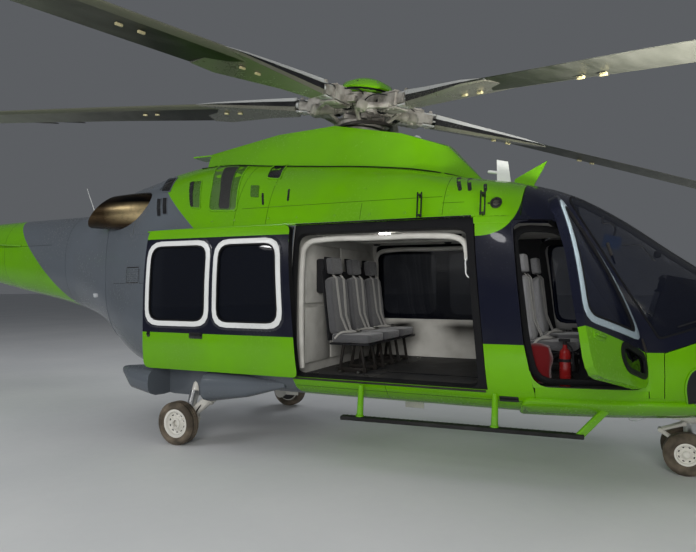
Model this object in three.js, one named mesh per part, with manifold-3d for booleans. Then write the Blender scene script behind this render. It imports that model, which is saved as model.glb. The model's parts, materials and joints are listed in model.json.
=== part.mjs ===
// A medium twin-engined rescue helicopter, parked on its three-point wheeled gear.
// Millimetres. X points to the nose, Y to port (left), Z up, the wheels stand on Z = 0.
// Inside the model the rotor axis crosses the hub at X = 0, Y = 0; the whole group is then
// shifted so that its origin is on the ground at the centre of the overall box.
import * as THREE from "three";
import { mergeVertices } from "three/addons/utils/BufferGeometryUtils.js";
import Module from "manifold-3d";

const wasm = await Module();
wasm.setup();

const deg = THREE.MathUtils.degToRad;
const GAP = 0.4; // between pieces that touch
const REST_GAP = 4; // between the hull and what stands on its curved skin
const RUNNING_GAP = 6; // between a shaft and its bearing
const FAR = 1500; // past the hull's side
const CHIP = 1; // litres: a boolean may leave chips smaller than this, which are dropped
const SIDES = [
  ["right", -1],
  ["left", 1],
];

// Hull cross-sections, each a pair of superellipse halves about the waist height.
// Columns: x, half width, bottom, waist, top, power of the lower half, power of the upper half
const HULL = [
  [3880, 70, 900, 985, 1070, 2.0, 2.0],
  [3800, 290, 770, 980, 1190, 2.1, 2.0],
  [3560, 560, 650, 985, 1400, 2.4, 2.0],
  [3260, 770, 580, 1000, 1620, 2.8, 2.0],
  [2900, 920, 545, 1020, 1880, 3.2, 2.1],
  [2500, 1010, 525, 1050, 2180, 3.6, 2.3],
  [2100, 1055, 515, 1080, 2412, 4.0, 2.6],
  [1700, 1080, 510, 1100, 2525, 4.2, 3.4],
  [1300, 1085, 510, 1100, 2590, 4.2, 3.7],
  [600, 1085, 510, 1110, 2750, 4.2, 3.3],
  [-200, 1085, 510, 1120, 2872, 4.2, 2.9],
  [-1000, 1075, 520, 1150, 2950, 4.0, 2.7],
  [-1600, 1030, 570, 1230, 2995, 3.6, 2.6],
  [-2100, 960, 580, 1350, 2965, 3.2, 2.5],
  [-2600, 820, 650, 1450, 2850, 2.8, 2.7],
  [-2950, 690, 790, 1600, 2755, 2.6, 2.9],
  [-3250, 600, 1040, 1740, 2570, 2.5, 2.5],
  [-3600, 530, 1210, 1830, 2525, 2.4, 2.3],
  [-4200, 460, 1370, 1920, 2510, 2.4, 2.3],
  [-5200, 370, 1545, 2000, 2500, 2.3, 2.2],
  [-6400, 270, 1780, 2120, 2470, 2.2, 2.1],
  [-7200, 190, 2010, 2240, 2450, 2.1, 2.0],
];
const RING_SIDES = 28;

const FLOOR_TOP = 750;
const DECK = 2160; // the cabin roof, where the engine cowling stands
const ROOF_UNDER = 2105;
const WALL = 60;
const SKIN = 12; // the door skin that laps over its glass
const GLASS = 8;
const SCREEN_GLASS = 12;
const SEAM = 3.5; // half the gap round a door

const CABIN_REAR = -300;
const BOOM_JOINT = -2900;
const BOOM_END = -7050;

// Door and window outlines in side view, x and z, listed anticlockwise with the nose to the right
const CABIN_DOOR = [
  [CABIN_REAR, FLOOR_TOP],
  [1510, FLOOR_TOP],
  [1385, DECK],
  [CABIN_REAR, DECK],
];
const CABIN_WINDOWS = [
  [
    [-220, 1230],
    [485, 1230],
    [485, 2050],
    [-220, 2050],
  ],
  [
    [620, 1230],
    [1385, 1230],
    [1320, 2050],
    [620, 2050],
  ],
];
const COCKPIT_DOOR = [
  [1880, 800],
  [2690, 812],
  [2670, 1080],
  [2124, 2112],
  [1701, 2112],
  [1800, 1150],
];
const COCKPIT_WINDOW = [
  [1845, 1195],
  [2560, 1195],
  [2090, 2045],
  [1765, 2045],
];
const COCKPIT_LOW_WINDOW = [
  [2330, 912],
  [2630, 902],
  [2630, 1050],
  [2290, 1080],
  [2262, 1000],
];
const COCKPIT_PANE_BRIDGE = [
  [2360, 1060],
  [2540, 1050],
  [2540, 1200],
  [2360, 1200],
];
const COCKPIT_PANE_LAP = 22; // the glass goes this far behind the window's edge

// The windscreen's dark frame, from the roof to the nose, and the glass inside it
const SCREEN_REGION = [
  [2690 + SEAM, FLOOR_TOP],
  [2790, FLOOR_TOP],
  [2790, 1090],
  [3700, 1420],
  [3700, 2700],
  [1960, 2700],
  [1960, 2120 + SEAM],
  [2120 + SEAM, 2120 + SEAM],
  [2670 + SEAM, 1080],
];
const SCREEN_GLASS_OUTLINE = [
  [2760, 1190],
  [3720, 1500],
  [3720, 2700],
  [2080, 2700],
  [2110, 2300],
];
const CENTRE_POST = 70;
const NOSE_JOINT = 2795;

// Main rotor
const HUB_Z = 3490;
const MAST_TILT = 7.3; // degrees, leaning forward
const BLADE_COUNT = 5;
const FIRST_BLADE = 184.6; // degrees anticlockwise from the nose, seen from above
const ROTOR_RADIUS = 6060;
// Columns: radius, chord, thickness, twist in degrees, droop, trailing-edge share behind the axis
const BLADE = [
  [760, 170, 74, 9, 0, 0.5],
  [1150, 250, 66, 9, 15, 0.6],
  [1850, 480, 60, 8, 50, 0.72],
  [3400, 480, 56, 6, 125, 0.72],
  [5500, 480, 48, 4, 240, 0.72],
  [5900, 390, 34, 3, 275, 0.86],
  [ROTOR_RADIUS, 230, 18, 3, 295, 1.1],
];

// Tail rotor, on the starboard side of the fin
const TAIL_HUB = [-7400, -330, 3270];
const TAIL_RADIUS = 1180;
const TAIL_BLADES = 3;

// Landing gear
const NOSE_AXLE = [2990, 0, 178];
const NOSE_TYRE = { radius: 178, rim: 95, width: 125, y: 170 };
const MAIN_AXLE = [-1570, 1120, 215];
const MAIN_TYRE = { radius: 215, rim: 142, width: 150 };
const WHEEL_SIDES = 28;
const MAIN_AXLE_RADIUS = 28;
const NOSE_AXLE_RADIUS = 20;

// The cockpit door's hinge line follows the raked front pillar: two points of the port one
const HINGE_FOOT = [2690, 985, 1050];
const HINGE_HEAD = [2352, 897, 2120];
const COCKPIT_OPEN = 61; // degrees, the starboard cockpit door as photographed
const ORIGIN_SHIFT = [1620, 100, 0]; // brings the middle of the overall box to the origin
const SLIDE_BACK = 1700;
const SLIDE_OUT = 85;

function paint(color, roughness, metalness = 0) {
  return new THREE.MeshStandardMaterial({ color, roughness, metalness });
}
const GREEN = paint(0x5fae00, 0.3);
const SLATE = paint(0x3b4049, 0.35);
const GLASS_TINT = paint(0x20242c, 0.05);
const RUBBER = paint(0x1d1a18, 0.9);
const WHITE = paint(0xd8d6c8, 0.45);
const STEEL = paint(0x8d8b80, 0.4, 0.8);
const BLACK = paint(0x101114, 0.6);
const BLADE_GREY = paint(0x3a4034, 0.5);
const LINING = paint(0xb8b6ae, 0.8);
const SEAT_CLOTH = paint(0x4b4d50, 0.9);
const HOT_METAL = paint(0x3a2a1c, 0.35, 0.9);

// Solids and meshes

function solid(geometry) {
  const bare = geometry.index ? geometry.toNonIndexed() : geometry.clone();
  bare.deleteAttribute("normal");
  bare.deleteAttribute("uv");
  const merged = mergeVertices(bare, 1e-3);
  return new wasm.Manifold(
    new wasm.Mesh({
      numProp: 3,
      vertProperties: merged.attributes.position.array,
      triVerts: new Uint32Array(merged.index.array),
    }),
  );
}

function geometryOf(body) {
  const mesh = body.getMesh();
  const geometry = new THREE.BufferGeometry();
  geometry.setAttribute("position", new THREE.BufferAttribute(mesh.vertProperties, 3));
  geometry.setIndex(new THREE.BufferAttribute(mesh.triVerts, 1));
  return geometry.toNonIndexed();
}

const helicopter = new THREE.Group();

function biggest(body) {
  const bodies = body.decompose().sort((a, b) => b.volume() - a.volume());
  return bodies[0];
}

function add(name, body, material, parent = helicopter) {
  const main = biggest(body);
  if (body.volume() - main.volume() > CHIP * 1e6) throw new Error(`${name} is in two pieces`);
  const geometry = geometryOf(biggest(solid(geometryOf(main))));
  geometry.computeVertexNormals();
  const mesh = new THREE.Mesh(geometry, material);
  mesh.name = name;
  parent.add(mesh);
  return mesh;
}

function joined(bodies) {
  return bodies.reduce((whole, body) => whole.add(body));
}

function mirrored(body, side) {
  return side < 0 ? body : body.mirror([0, 1, 0]);
}

// A closed skin over rings of equal length, capped at both ends. Its facets are split the
// opposite way on the port side, so that a symmetric hull stays symmetric.
function loft(rings) {
  const points = rings.flat();
  const count = rings[0].length;
  const faces = [];
  for (let i = 0; i + 1 < rings.length; i++) {
    for (let j = 0; j < count; j++) {
      const a = i * count + j;
      const b = i * count + ((j + 1) % count);
      if (points[a].y + points[b].y > 0) faces.push(a, b, b + count, a, b + count, a + count);
      else faces.push(a, b, a + count, b, b + count, a + count);
    }
  }
  for (const [start, turn] of [
    [0, true],
    [(rings.length - 1) * count, false],
  ]) {
    const middle = new THREE.Vector3();
    for (let j = 0; j < count; j++) middle.add(points[start + j]);
    points.push(middle.divideScalar(count));
    for (let j = 0; j < count; j++) {
      const a = start + j;
      const b = start + ((j + 1) % count);
      faces.push(...(turn ? [b, a, points.length - 1] : [a, b, points.length - 1]));
    }
  }
  const geometry = new THREE.BufferGeometry().setFromPoints(points);
  geometry.setIndex(faces);
  const body = solid(geometry);
  if (body.volume() > 0) return body;
  for (let i = 0; i < faces.length; i += 3) {
    [faces[i + 1], faces[i + 2]] = [faces[i + 2], faces[i + 1]];
  }
  geometry.setIndex(faces);
  return solid(geometry);
}

function box(x0, x1, y0, y1, z0, z1) {
  const shape = new THREE.BoxGeometry(x1 - x0, y1 - y0, z1 - z0);
  return solid(shape.translate((x0 + x1) / 2, (y0 + y1) / 2, (z0 + z1) / 2));
}

// An outline with its corners rounded
function roundedShape(outline, radius) {
  const shape = new THREE.Shape();
  const count = outline.length;
  outline.forEach((corner, i) => {
    const here = new THREE.Vector2(...corner);
    const before = new THREE.Vector2(...outline[(i + count - 1) % count]);
    const after = new THREE.Vector2(...outline[(i + 1) % count]);
    const cut = Math.min(radius, here.distanceTo(before) / 2.1, here.distanceTo(after) / 2.1);
    const start = here.clone().add(before.sub(here).setLength(cut));
    const end = here.clone().add(after.sub(here).setLength(cut));
    if (i === 0) shape.moveTo(start.x, start.y);
    else shape.lineTo(start.x, start.y);
    shape.quadraticCurveTo(here.x, here.y, end.x, end.y);
  });
  shape.closePath();
  return shape;
}

// A side-view outline extruded across the hull, from y0 to y1
function sidePrism(outline, y0, y1, radius = 0, curveSegments = 3) {
  const shape = radius
    ? roundedShape(outline, radius)
    : new THREE.Shape(outline.map((p) => new THREE.Vector2(...p)));
  const geometry = new THREE.ExtrudeGeometry(shape, {
    depth: y1 - y0,
    bevelEnabled: false,
    curveSegments,
  });
  return solid(geometry.rotateX(Math.PI / 2).translate(0, y1, 0));
}

// Moves an outline's corners away from its middle, or towards it
function grown(outline, by) {
  const count = outline.length;
  return outline.map((corner, i) => {
    const here = new THREE.Vector2(...corner);
    const back = new THREE.Vector2(...outline[(i + count - 1) % count]).sub(here).normalize();
    const on = new THREE.Vector2(...outline[(i + 1) % count]).sub(here).normalize();
    const n1 = new THREE.Vector2(-back.y, back.x);
    const n2 = new THREE.Vector2(on.y, -on.x);
    const out = n1.add(n2).divideScalar(1 + n1.dot(n2));
    return [here.x + out.x * by, here.y + out.y * by];
  });
}

function rod(from, to, radius, sides = 10) {
  const a = new THREE.Vector3(...from);
  const b = new THREE.Vector3(...to);
  const shape = new THREE.CylinderGeometry(radius, radius, a.distanceTo(b), sides);
  const turn = new THREE.Quaternion().setFromUnitVectors(
    new THREE.Vector3(0, 1, 0),
    b.clone().sub(a).normalize(),
  );
  shape.applyQuaternion(turn).translate((a.x + b.x) / 2, (a.y + b.y) / 2, (a.z + b.z) / 2);
  return solid(shape);
}

// A profile of radius and height, turned round the Y axis at a place
function turned(profile, place, sides) {
  const closed = profile.map((p) => new THREE.Vector2(...p));
  const shape = new THREE.LatheGeometry([...closed, closed[0]], sides);
  return solid(shape.translate(...place));
}

// Hull

// Smooth interpolation in the table of cross-sections
function hullAt(x) {
  const last = HULL.length - 1;
  let i = 0;
  while (i < last - 1 && x < HULL[i + 1][0]) i++;
  const [p0, p1, p2, p3] = [Math.max(i - 1, 0), i, i + 1, Math.min(i + 2, last)].map(
    (k) => HULL[k],
  );
  const span = p2[0] - p1[0];
  const t = (x - p1[0]) / span;
  return p1.map((value, k) => {
    if (k === 0) return x;
    const m1 = p2 === p0 ? 0 : ((p2[k] - p0[k]) / (p2[0] - p0[0])) * span;
    const m2 = p3 === p1 ? 0 : ((p3[k] - p1[k]) / (p3[0] - p1[0])) * span;
    const t2 = t * t;
    const t3 = t2 * t;
    return (
      (2 * t3 - 3 * t2 + 1) * value + (t3 - 2 * t2 + t) * m1 +
      (3 * t2 - 2 * t3) * p2[k] + (t3 - t2) * m2
    );
  });
}

function halfCurve(turn, power) {
  return Math.sign(turn) * Math.abs(turn) ** (2 / power);
}

function hullRing(x, inset, sides) {
  const [, half, bottom, waist, top, low, high] = hullAt(x);
  const ring = [];
  for (let i = 0; i < sides; i++) {
    const angle = (2 * Math.PI * i) / sides;
    const c = Math.cos(angle);
    const s = Math.sin(angle);
    const power = s > 0 ? high : low;
    const reach = s > 0 ? top - waist - inset : waist - bottom - inset;
    ring.push(
      new THREE.Vector3(x, (half - inset) * halfCurve(c, power), waist + reach * halfCurve(s, power)),
    );
  }
  return ring;
}

function hull(front, back, steps, inset = 0, sides = RING_SIDES) {
  const rings = [];
  for (let i = 0; i <= steps; i++) {
    rings.push(hullRing(front + ((back - front) * i) / steps, inset, sides));
  }
  return loft(rings);
}

const HULL_FRONT = 3880;

// The four stretches of hull, each sampled in one way wherever it is cut
const cabinHull = (inset) => hull(HULL_FRONT, CABIN_REAR, 13, inset);
const aftHull = (inset) => hull(CABIN_REAR - GAP, BOOM_JOINT, 8, inset);
const boomHull = (inset) => hull(BOOM_JOINT - GAP, BOOM_END, 9, inset);
const cowlHull = (inset) => hull(1755, -2495, 11, inset);

const cabinOuter = cabinHull(0);
const cabinInner = hull(3600, CABIN_REAR - 10, 11, WALL);
const cabinSkin = cabinOuter.subtract(cabinInner);
const doorway = cabinOuter.subtract(hull(3600, CABIN_REAR - 10, 11, WALL + RUNNING_GAP));
const thinHull = (inset) => hull(3800, CABIN_REAR - 10, 12, inset);
const underSkin = cabinOuter.subtract(thinHull(SKIN));
const screenSkin = cabinOuter.subtract(thinHull(SCREEN_GLASS));
const paneLayer = thinHull(SKIN + GAP).subtract(thinHull(SKIN + GAP + GLASS));

const COCKPIT_SILL = [
  [1880 + SEAM, FLOOR_TOP - 10],
  [2690 - SEAM, FLOOR_TOP - 10],
  [2690 - SEAM, 812 - SEAM],
  [1880 + SEAM, 800 - SEAM],
];

// The flat plate in the cabin floor that stretchers and seats are fastened to
const EQUIPMENT_PLATE = [420, 1380, 450];

function bellyBody() {
  const under = box(CABIN_REAR + GAP, NOSE_JOINT - GAP, -FAR, FAR, 0, FLOOR_TOP - GAP);
  const sill = sidePrism(COCKPIT_SILL, -FAR, FAR).intersect(cabinSkin);
  const [x0, x1, half] = EQUIPMENT_PLATE;
  const plate = box(x0, x1, -half, half, FLOOR_TOP - 20, FLOOR_TOP + 8);
  return joined([cabinOuter.intersect(under), sill, plate]);
}

const NOSE_OUTLINE = [
  [NOSE_JOINT, 400],
  [4000, 400],
  [4000, 1528],
  [3700, 1420 - SEAM],
  [NOSE_JOINT, 1090 - SEAM],
];

const NOSE_BAY = [2860, 3270, -230, 230, 400, 760];

function noseBody() {
  const bay = box(...NOSE_BAY);
  return cabinOuter.intersect(sidePrism(NOSE_OUTLINE, -FAR, FAR)).subtract(bay);
}

const PILLAR = [
  [1515, FLOOR_TOP],
  [1880 - SEAM, FLOOR_TOP],
  [1800 - SEAM, 1150],
  [1704 - SEAM, ROOF_UNDER - GAP],
  [1400, ROOF_UNDER - GAP],
];

function pillarBody(side) {
  const strip = sidePrism(PILLAR, -FAR, 0);
  return mirrored(cabinSkin.intersect(strip), side);
}

// Cabin ceiling and cockpit roof in one, with the overhead cutter on the centre line
function roofBody() {
  const ceiling = box(CABIN_REAR + GAP, 1960 - GAP, -FAR, FAR, ROOF_UNDER, DECK - GAP);
  const dome = box(1760, 1960 - GAP, -FAR, FAR, ROOF_UNDER, 2900);
  const hollow = hull(3600, 1500, 7, WALL).intersect(box(1800, 3600, -FAR, FAR, 0, 3000));
  const cockpitRoof = cabinOuter.intersect(dome).subtract(hollow);
  const doorHead = box(1700 - SEAM, 2000, -FAR, FAR, 0, 2120 + SEAM);
  const doorTops = doorHead.subtract(box(1600, 2100, -FAR, FAR, 0, 2050));
  const cutDoors = doorTops.intersect(doorway);
  const cabinDoorHead = sidePrism(CABIN_DOOR, -FAR, FAR).intersect(doorway);
  return cabinOuter
    .intersect(ceiling)
    .subtract(cabinDoorHead)
    .subtract(cutDoors)
    .add(cockpitRoof.subtract(cutDoors));
}

function screenFrameBody() {
  const region = sidePrism(SCREEN_REGION, -FAR, FAR).subtract(box(1900, 1960, -FAR, FAR, 0, 3000));
  const band = cabinSkin.intersect(region);
  const glassHole = sidePrism(SCREEN_GLASS_OUTLINE, -FAR, FAR);
  const holes = glassHole.subtract(box(1000, 4000, -CENTRE_POST / 2, CENTRE_POST / 2, 0, 3000));
  return band.subtract(holes);
}

function screenGlassBody(side) {
  const outline = grown(SCREEN_GLASS_OUTLINE, -1.5);
  const panes = screenSkin.intersect(sidePrism(outline, -FAR, -CENTRE_POST / 2 - 1.5));
  return mirrored(panes, side);
}

function cabinDoorBody() {
  const outline = grown(CABIN_DOOR, -SEAM);
  const door = cabinSkin.intersect(sidePrism(outline, -FAR, -200, 60));
  const windows = joined(CABIN_WINDOWS.map((w) => sidePrism(w, -FAR, 0, 130)));
  const pocket = sidePrism(CABIN_PANE, -FAR, 0, 60).subtract(underSkin);
  return door.subtract(windows).subtract(pocket);
}
const CABIN_PANE = [
  [-255, 1195],
  [1425, 1195],
  [1352, 2085],
  [-255, 2085],
];

function cabinPaneBody() {
  return paneLayer.intersect(sidePrism(grown(CABIN_PANE, -2), -FAR, 0, 60));
}

function cockpitDoorBody() {
  const outline = grown(COCKPIT_DOOR, -SEAM);
  const door = cabinSkin.intersect(sidePrism(outline, -FAR, -200, 130));
  const windows = sidePrism(COCKPIT_WINDOW, -FAR, 0, 110).add(
    sidePrism(COCKPIT_LOW_WINDOW, -FAR, 0, 60),
  );
  const pocket = cockpitPaneSpace(COCKPIT_PANE_LAP).subtract(underSkin);
  return door.subtract(windows).subtract(pocket);
}

function cockpitPaneSpace(lap) {
  const upper = sidePrism(grown(COCKPIT_WINDOW, lap), -FAR, 0, 110);
  const lower = sidePrism(grown(COCKPIT_LOW_WINDOW, lap), -FAR, 0, 60);
  const bridge = sidePrism(grown(COCKPIT_PANE_BRIDGE, lap - COCKPIT_PANE_LAP), -FAR, 0);
  return joined([upper, lower, bridge]);
}

function cockpitPaneBody() {
  return paneLayer.intersect(cockpitPaneSpace(COCKPIT_PANE_LAP - 2));
}

function aftBody() {
  const whole = aftHull(0).subtract(
    box(-4000, 500, -FAR, FAR, DECK - GAP, 3200).intersect(box(-2500, 500, -FAR, FAR, 0, 3200)),
  );
  const baggage = box(...BAGGAGE_BAY);
  const opening = sidePrism(grown(BAGGAGE_DOOR, SEAM), 0, FAR, 60);
  const wells = joined(SIDES.map(([, s]) => wheelWell(s)));
  const pods = joined(SIDES.map(([, s]) => mirrored(sponson(), s)));
  return whole.add(pods).subtract(wells).subtract(baggage).subtract(opening);
}

const BAY_SIDE = 985;
const BAGGAGE_BAY = [-1560, -480, -700, BAY_SIDE, 900, 1900];
const BAGGAGE_DOOR = [
  [-1500, 1000],
  [-620, 1000],
  [-620, 1800],
  [-1500, 1800],
];

function baggageDoorBody() {
  return aftHull(0).intersect(sidePrism(grown(BAGGAGE_DOOR, -SEAM), BAY_SIDE, FAR, 60));
}

// The pod over each main wheel: columns x, half height, half width, middle height
const POD_STATIONS = [
  [-420, 30, 40, 650],
  [-800, 110, 190, 620],
  [-1200, 150, 250, 595],
  [-1850, 150, 260, 595],
  [-2200, 120, 200, 625],
  [-2400, 40, 80, 690],
];
const POD_Y = -950;
const POD_POWER = 3;

function sponson(grow = 0) {
  const rings = POD_STATIONS.map(([x, tall, wide, middle]) => {
    const ring = [];
    for (let i = 0; i < 16; i++) {
      const a = (2 * Math.PI * i) / 16;
      const y = POD_Y + (wide + grow) * halfCurve(Math.cos(a), POD_POWER);
      const z = middle + (tall + grow) * halfCurve(Math.sin(a), POD_POWER);
      ring.push(new THREE.Vector3(x, y, z));
    }
    return ring;
  });
  return loft(rings);
}

// The wheel well under each pod, drawn on the starboard side
const WELL = { back: -1900, front: -1240, outer: -1300, inner: -860, foot: 300, top: 760 };

function wheelWell(side) {
  return mirrored(box(WELL.back, WELL.front, WELL.outer, WELL.inner, WELL.foot, WELL.top), side);
}

const ANTENNA = [
  [1400, 2500],
  [1545, 2480],
  [1505, 2797],
  [1398, 2823],
];
const CUTTER = [
  [1550, 2480],
  [1700, 2460],
  [1871, 2775],
  [1757, 2716],
  [1570, 2620],
];

function cowlingBody() {
  const outer = cowlHull(0).intersect(box(-3000, 3000, -FAR, FAR, DECK + GAP, 3200));
  const inner = hull(1500, -2350, 6, 60, 16).intersect(box(-2350, 1500, -FAR, FAR, 0, 3200));
  const mastHole = rod([0, 0, 2400], [0, 0, 3300], 260, 16);
  const fins = [ANTENNA, CUTTER].map((outline) => sidePrism(outline, -10, 10).subtract(inner));
  return joined([outer.subtract(inner).subtract(mastHole), ...fins]);
}

// The fairing round the rotor mast: columns x, top height, half width at the foot, half width at the top
const FAIRING = [
  [1260, 2640, 120, 60],
  [960, 2980, 380, 220],
  [520, 3130, 500, 320],
  [-200, 3276, 540, 340],
  [-900, 3262, 500, 300],
  [-1850, 3150, 400, 210],
];
const FAIRING_FOOT = 2400;
const FAIRING_SHOULDER = 2680;

function fairingBody() {
  const rings = FAIRING.map(([x, top, foot, crown]) => {
    const shoulder = Math.min(FAIRING_SHOULDER, top - 150);
    return [
      [-foot, FAIRING_FOOT],
      [-foot, shoulder],
      [-crown - 40, top - 90],
      [-crown, top - 25],
      [-crown * 0.5, top],
      [crown * 0.5, top],
      [crown, top - 25],
      [crown + 40, top - 90],
      [foot, shoulder],
      [foot, FAIRING_FOOT],
    ].map(([y, z]) => new THREE.Vector3(x, y, z));
  });
  const tower = loft(rings).subtract(cowlHull(-REST_GAP));
  const lip = box(-2190, -1760, -124, 124, 3126, 3144);
  const shaft = rod([0, 0, 2300], [0, 0, 3400], 275, 16);
  return tower.add(lip).subtract(shaft);
}

// A slanted stub pipe, its outlet cut off obliquely
const EXHAUST_PATH = [
  [-2150, -340, 2520],
  [-2550, -480, 2490],
  [-2900, -590, 2455],
  [-3250, -680, 2430],
];

const EXHAUST_BORE = 135;
const EXHAUST_RADIUS = 163;
const EXHAUST_CUT = [
  [-2820, 2700],
  [-3570, 2100],
  [-3900, 2100],
  [-3900, 2700],
];

function exhaustBody() {
  const path = new THREE.CatmullRomCurve3(EXHAUST_PATH.map((p) => new THREE.Vector3(...p)));
  const tube = (r) =>
    solid(
      new THREE.ExtrudeGeometry(new THREE.Shape(new THREE.EllipseCurve(0, 0, r, r).getPoints(12)), {
        steps: 4,
        extrudePath: path,
        bevelEnabled: false,
      }),
    );
  const [from, to] = EXHAUST_PATH.slice(-2);
  const along = to.map((value, k) => value + (value - from[k]) * 0.1);
  const bore = tube(EXHAUST_BORE).add(rod(from, along, EXHAUST_BORE, 12));
  const mouth = sidePrism(EXHAUST_CUT, -FAR, 0);
  return [bore, mouth, aftHull(-REST_GAP), boomHull(-REST_GAP)].reduce(
    (pipe, cut) => pipe.subtract(cut),
    tube(EXHAUST_RADIUS),
  );
}

// The two engines, the main gearbox, the beam under the engines and their feet, as plain blocks.
// Columns: x from, to, y from, to, z from, to
const ENGINE_BLOCKS = [
  [-1950, -750, -540, -200, 2260, 2560],
  [-1950, -750, 200, 540, 2260, 2560],
  [-760, 420, -300, 300, 2240, 2620],
  [-1900, -700, -300, 300, 2240, 2320],
  [-1700, 300, -80, 80, DECK + GAP, 2260],
];

function engineBody() {
  return joined(ENGINE_BLOCKS.map((block) => box(...block)));
}

// Tail

const BOOM_HOLLOW_END = -6600;
const BOOM_WALL = 45;

function boomBody() {
  return boomHull(0).subtract(hull(BOOM_JOINT + 10, BOOM_HOLLOW_END, 5, BOOM_WALL, 12));
}

// The fin's sections: z, leading x, trailing x, half thickness
const FIN = [
  [1880, -6450, -7330, 70],
  [2500, -6560, -7720, 75],
  [3300, -7050, -8060, 60],
  [4080, -7560, -8330, 40],
  [4180, -7700, -8330, 22],
];

// Share of the chord, share of the half thickness
const FIN_SECTION = [
  [0, 0],
  [0.04, 0.55],
  [0.18, 1],
  [0.5, 0.9],
  [1, 0.12],
  [1, -0.12],
  [0.5, -0.9],
  [0.18, -1],
  [0.04, -0.55],
];

function finRing([z, lead, trail, half]) {
  const chord = lead - trail;
  return FIN_SECTION.map(([along, out]) => new THREE.Vector3(lead - along * chord, out * half, z));
}

function finBody() {
  const fin = loft(FIN.map(finRing));
  const gearbox = rod([TAIL_HUB[0], 110, TAIL_HUB[2]], [TAIL_HUB[0], -190, TAIL_HUB[2]], 150, 16);
  const bumper = rod([-7200, 0, 1960], [-7480, 0, 1650], 22, 8);
  return joined([fin, gearbox, bumper]).subtract(boomHull(-REST_GAP));
}

const TAILPLANE = { x: -6120, z: 2240, span: 1650, root: 620, tip: 430, sweep: 90 };
// Share of the chord, height
const TAILPLANE_SECTION = [
  [0, 0],
  [0.06, 26],
  [0.3, 42],
  [0.98, 8],
  [0.98, -8],
  [0.3, -36],
  [0.06, -26],
];

function tailplaneBody(side) {
  const rings = [0, 1].map((share) => {
    const chord = TAILPLANE.root + share * (TAILPLANE.tip - TAILPLANE.root);
    const lead = TAILPLANE.x - share * TAILPLANE.sweep;
    const y = -share * TAILPLANE.span;
    return TAILPLANE_SECTION.map(
      ([along, up]) => new THREE.Vector3(lead - along * chord, y, TAILPLANE.z + up),
    );
  });
  return mirrored(loft(rings).subtract(boomHull(-REST_GAP)), side);
}

// Landing gear

function tyreBody({ radius, rim, width }, place) {
  const half = width / 2;
  const round = width * 0.3;
  return turned(
    [
      [rim, -half * 0.75],
      [radius - round, -half],
      [radius - round * 0.3, -half * 0.8],
      [radius, -half * 0.4],
      [radius, half * 0.4],
      [radius - round * 0.3, half * 0.8],
      [radius - round, half],
      [rim, half * 0.75],
    ],
    place,
    WHEEL_SIDES,
  );
}

function rimBody({ rim, width }, place, bore) {
  const half = width * 0.36;
  return turned(
    [
      [bore, -half * 0.6],
      [rim * 0.55, -half * 0.6],
      [rim * 0.78, -half],
      [rim - GAP, -half],
      [rim - GAP, half],
      [rim * 0.78, half],
      [rim * 0.55, half * 0.6],
      [bore, half * 0.6],
    ],
    place,
    WHEEL_SIDES,
  );
}

function mainTyreBody() {
  const [x, y, z] = MAIN_AXLE;
  return tyreBody(MAIN_TYRE, [x, -y, z]);
}

function mainRimBody() {
  const [x, y, z] = MAIN_AXLE;
  return rimBody(MAIN_TYRE, [x, -y, z], MAIN_AXLE_RADIUS + RUNNING_GAP);
}

function noseTyreBody() {
  const [x, , z] = NOSE_AXLE;
  return tyreBody(NOSE_TYRE, [x, -NOSE_TYRE.y, z]);
}

const NOSE_PIVOT_X = NOSE_AXLE[0] + 45;
const NOSE_COLLAR_TOP = 420;
const BAY_DOOR_Y = 215;

function noseLegBody() {
  const barrel = rod([NOSE_PIVOT_X, 0, NOSE_COLLAR_TOP + GAP], [NOSE_PIVOT_X, 0, 740], 62, 16);
  const beam = box(NOSE_PIVOT_X - 40, NOSE_PIVOT_X + 40, -228, 228, 640, 720);
  const doors = joined(
    SIDES.map(([, s]) => box(2880, 3250, s * BAY_DOOR_Y - 8, s * BAY_DOOR_Y + 8, 470, 758)),
  );
  return joined([barrel, beam, doors]);
}

function noseForkBody() {
  const [x, , z] = NOSE_AXLE;
  const collar = rod([NOSE_PIVOT_X, 0, 250], [NOSE_PIVOT_X, 0, NOSE_COLLAR_TOP - GAP], 52, 16);
  const knuckle = box(x - 60, NOSE_PIVOT_X + 40, -55, 55, z - 50, 260);
  const link = joined([
    rod([NOSE_PIVOT_X - 40, 0, 400], [x - 190, 0, 330], 20, 8),
    rod([x - 190, 0, 330], [x - 40, 0, 220], 20, 8),
  ]);
  const axleBore = rod([x, -90, z], [x, 90, z], NOSE_AXLE_RADIUS + RUNNING_GAP, 16);
  return joined([collar, knuckle, link]).subtract(axleBore);
}

function noseRimsBody() {
  const [x, , z] = NOSE_AXLE;
  const axle = rod([x, -NOSE_TYRE.y, z], [x, NOSE_TYRE.y, z], NOSE_AXLE_RADIUS, 16);
  const rims = SIDES.map(([, s]) => rimBody(NOSE_TYRE, [x, s * NOSE_TYRE.y, z], 18));
  return joined([axle, ...rims]);
}

function mainLegBody(side) {
  const [x, y, z] = MAIN_AXLE;
  const inner = 760;
  const parts = [
    rod([x + 420, -inner - 60, 640], [x + 420, -inner + 120, 640], 60, 12),
    rod([x + 420, -inner, 640], [x + 20, -y + 190, z + 60], 52, 12),
    rod([x + 10, -inner + 20, 760], [x + 10, -y + 170, z + 90], 44, 12),
    rod([x, -y + 230, z], [x, -y + 95, z], 60, 14),
    rod([x, -y + 100, z], [x, -y - 20, z], MAIN_AXLE_RADIUS, 14),
    box(x - 60, x + 60, -y + 150, -y + 240, z - 40, z + 110),
  ];
  const body = joined(parts).subtract(sponsonAndHull());
  return mirrored(biggest(body), side);
}

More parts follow.
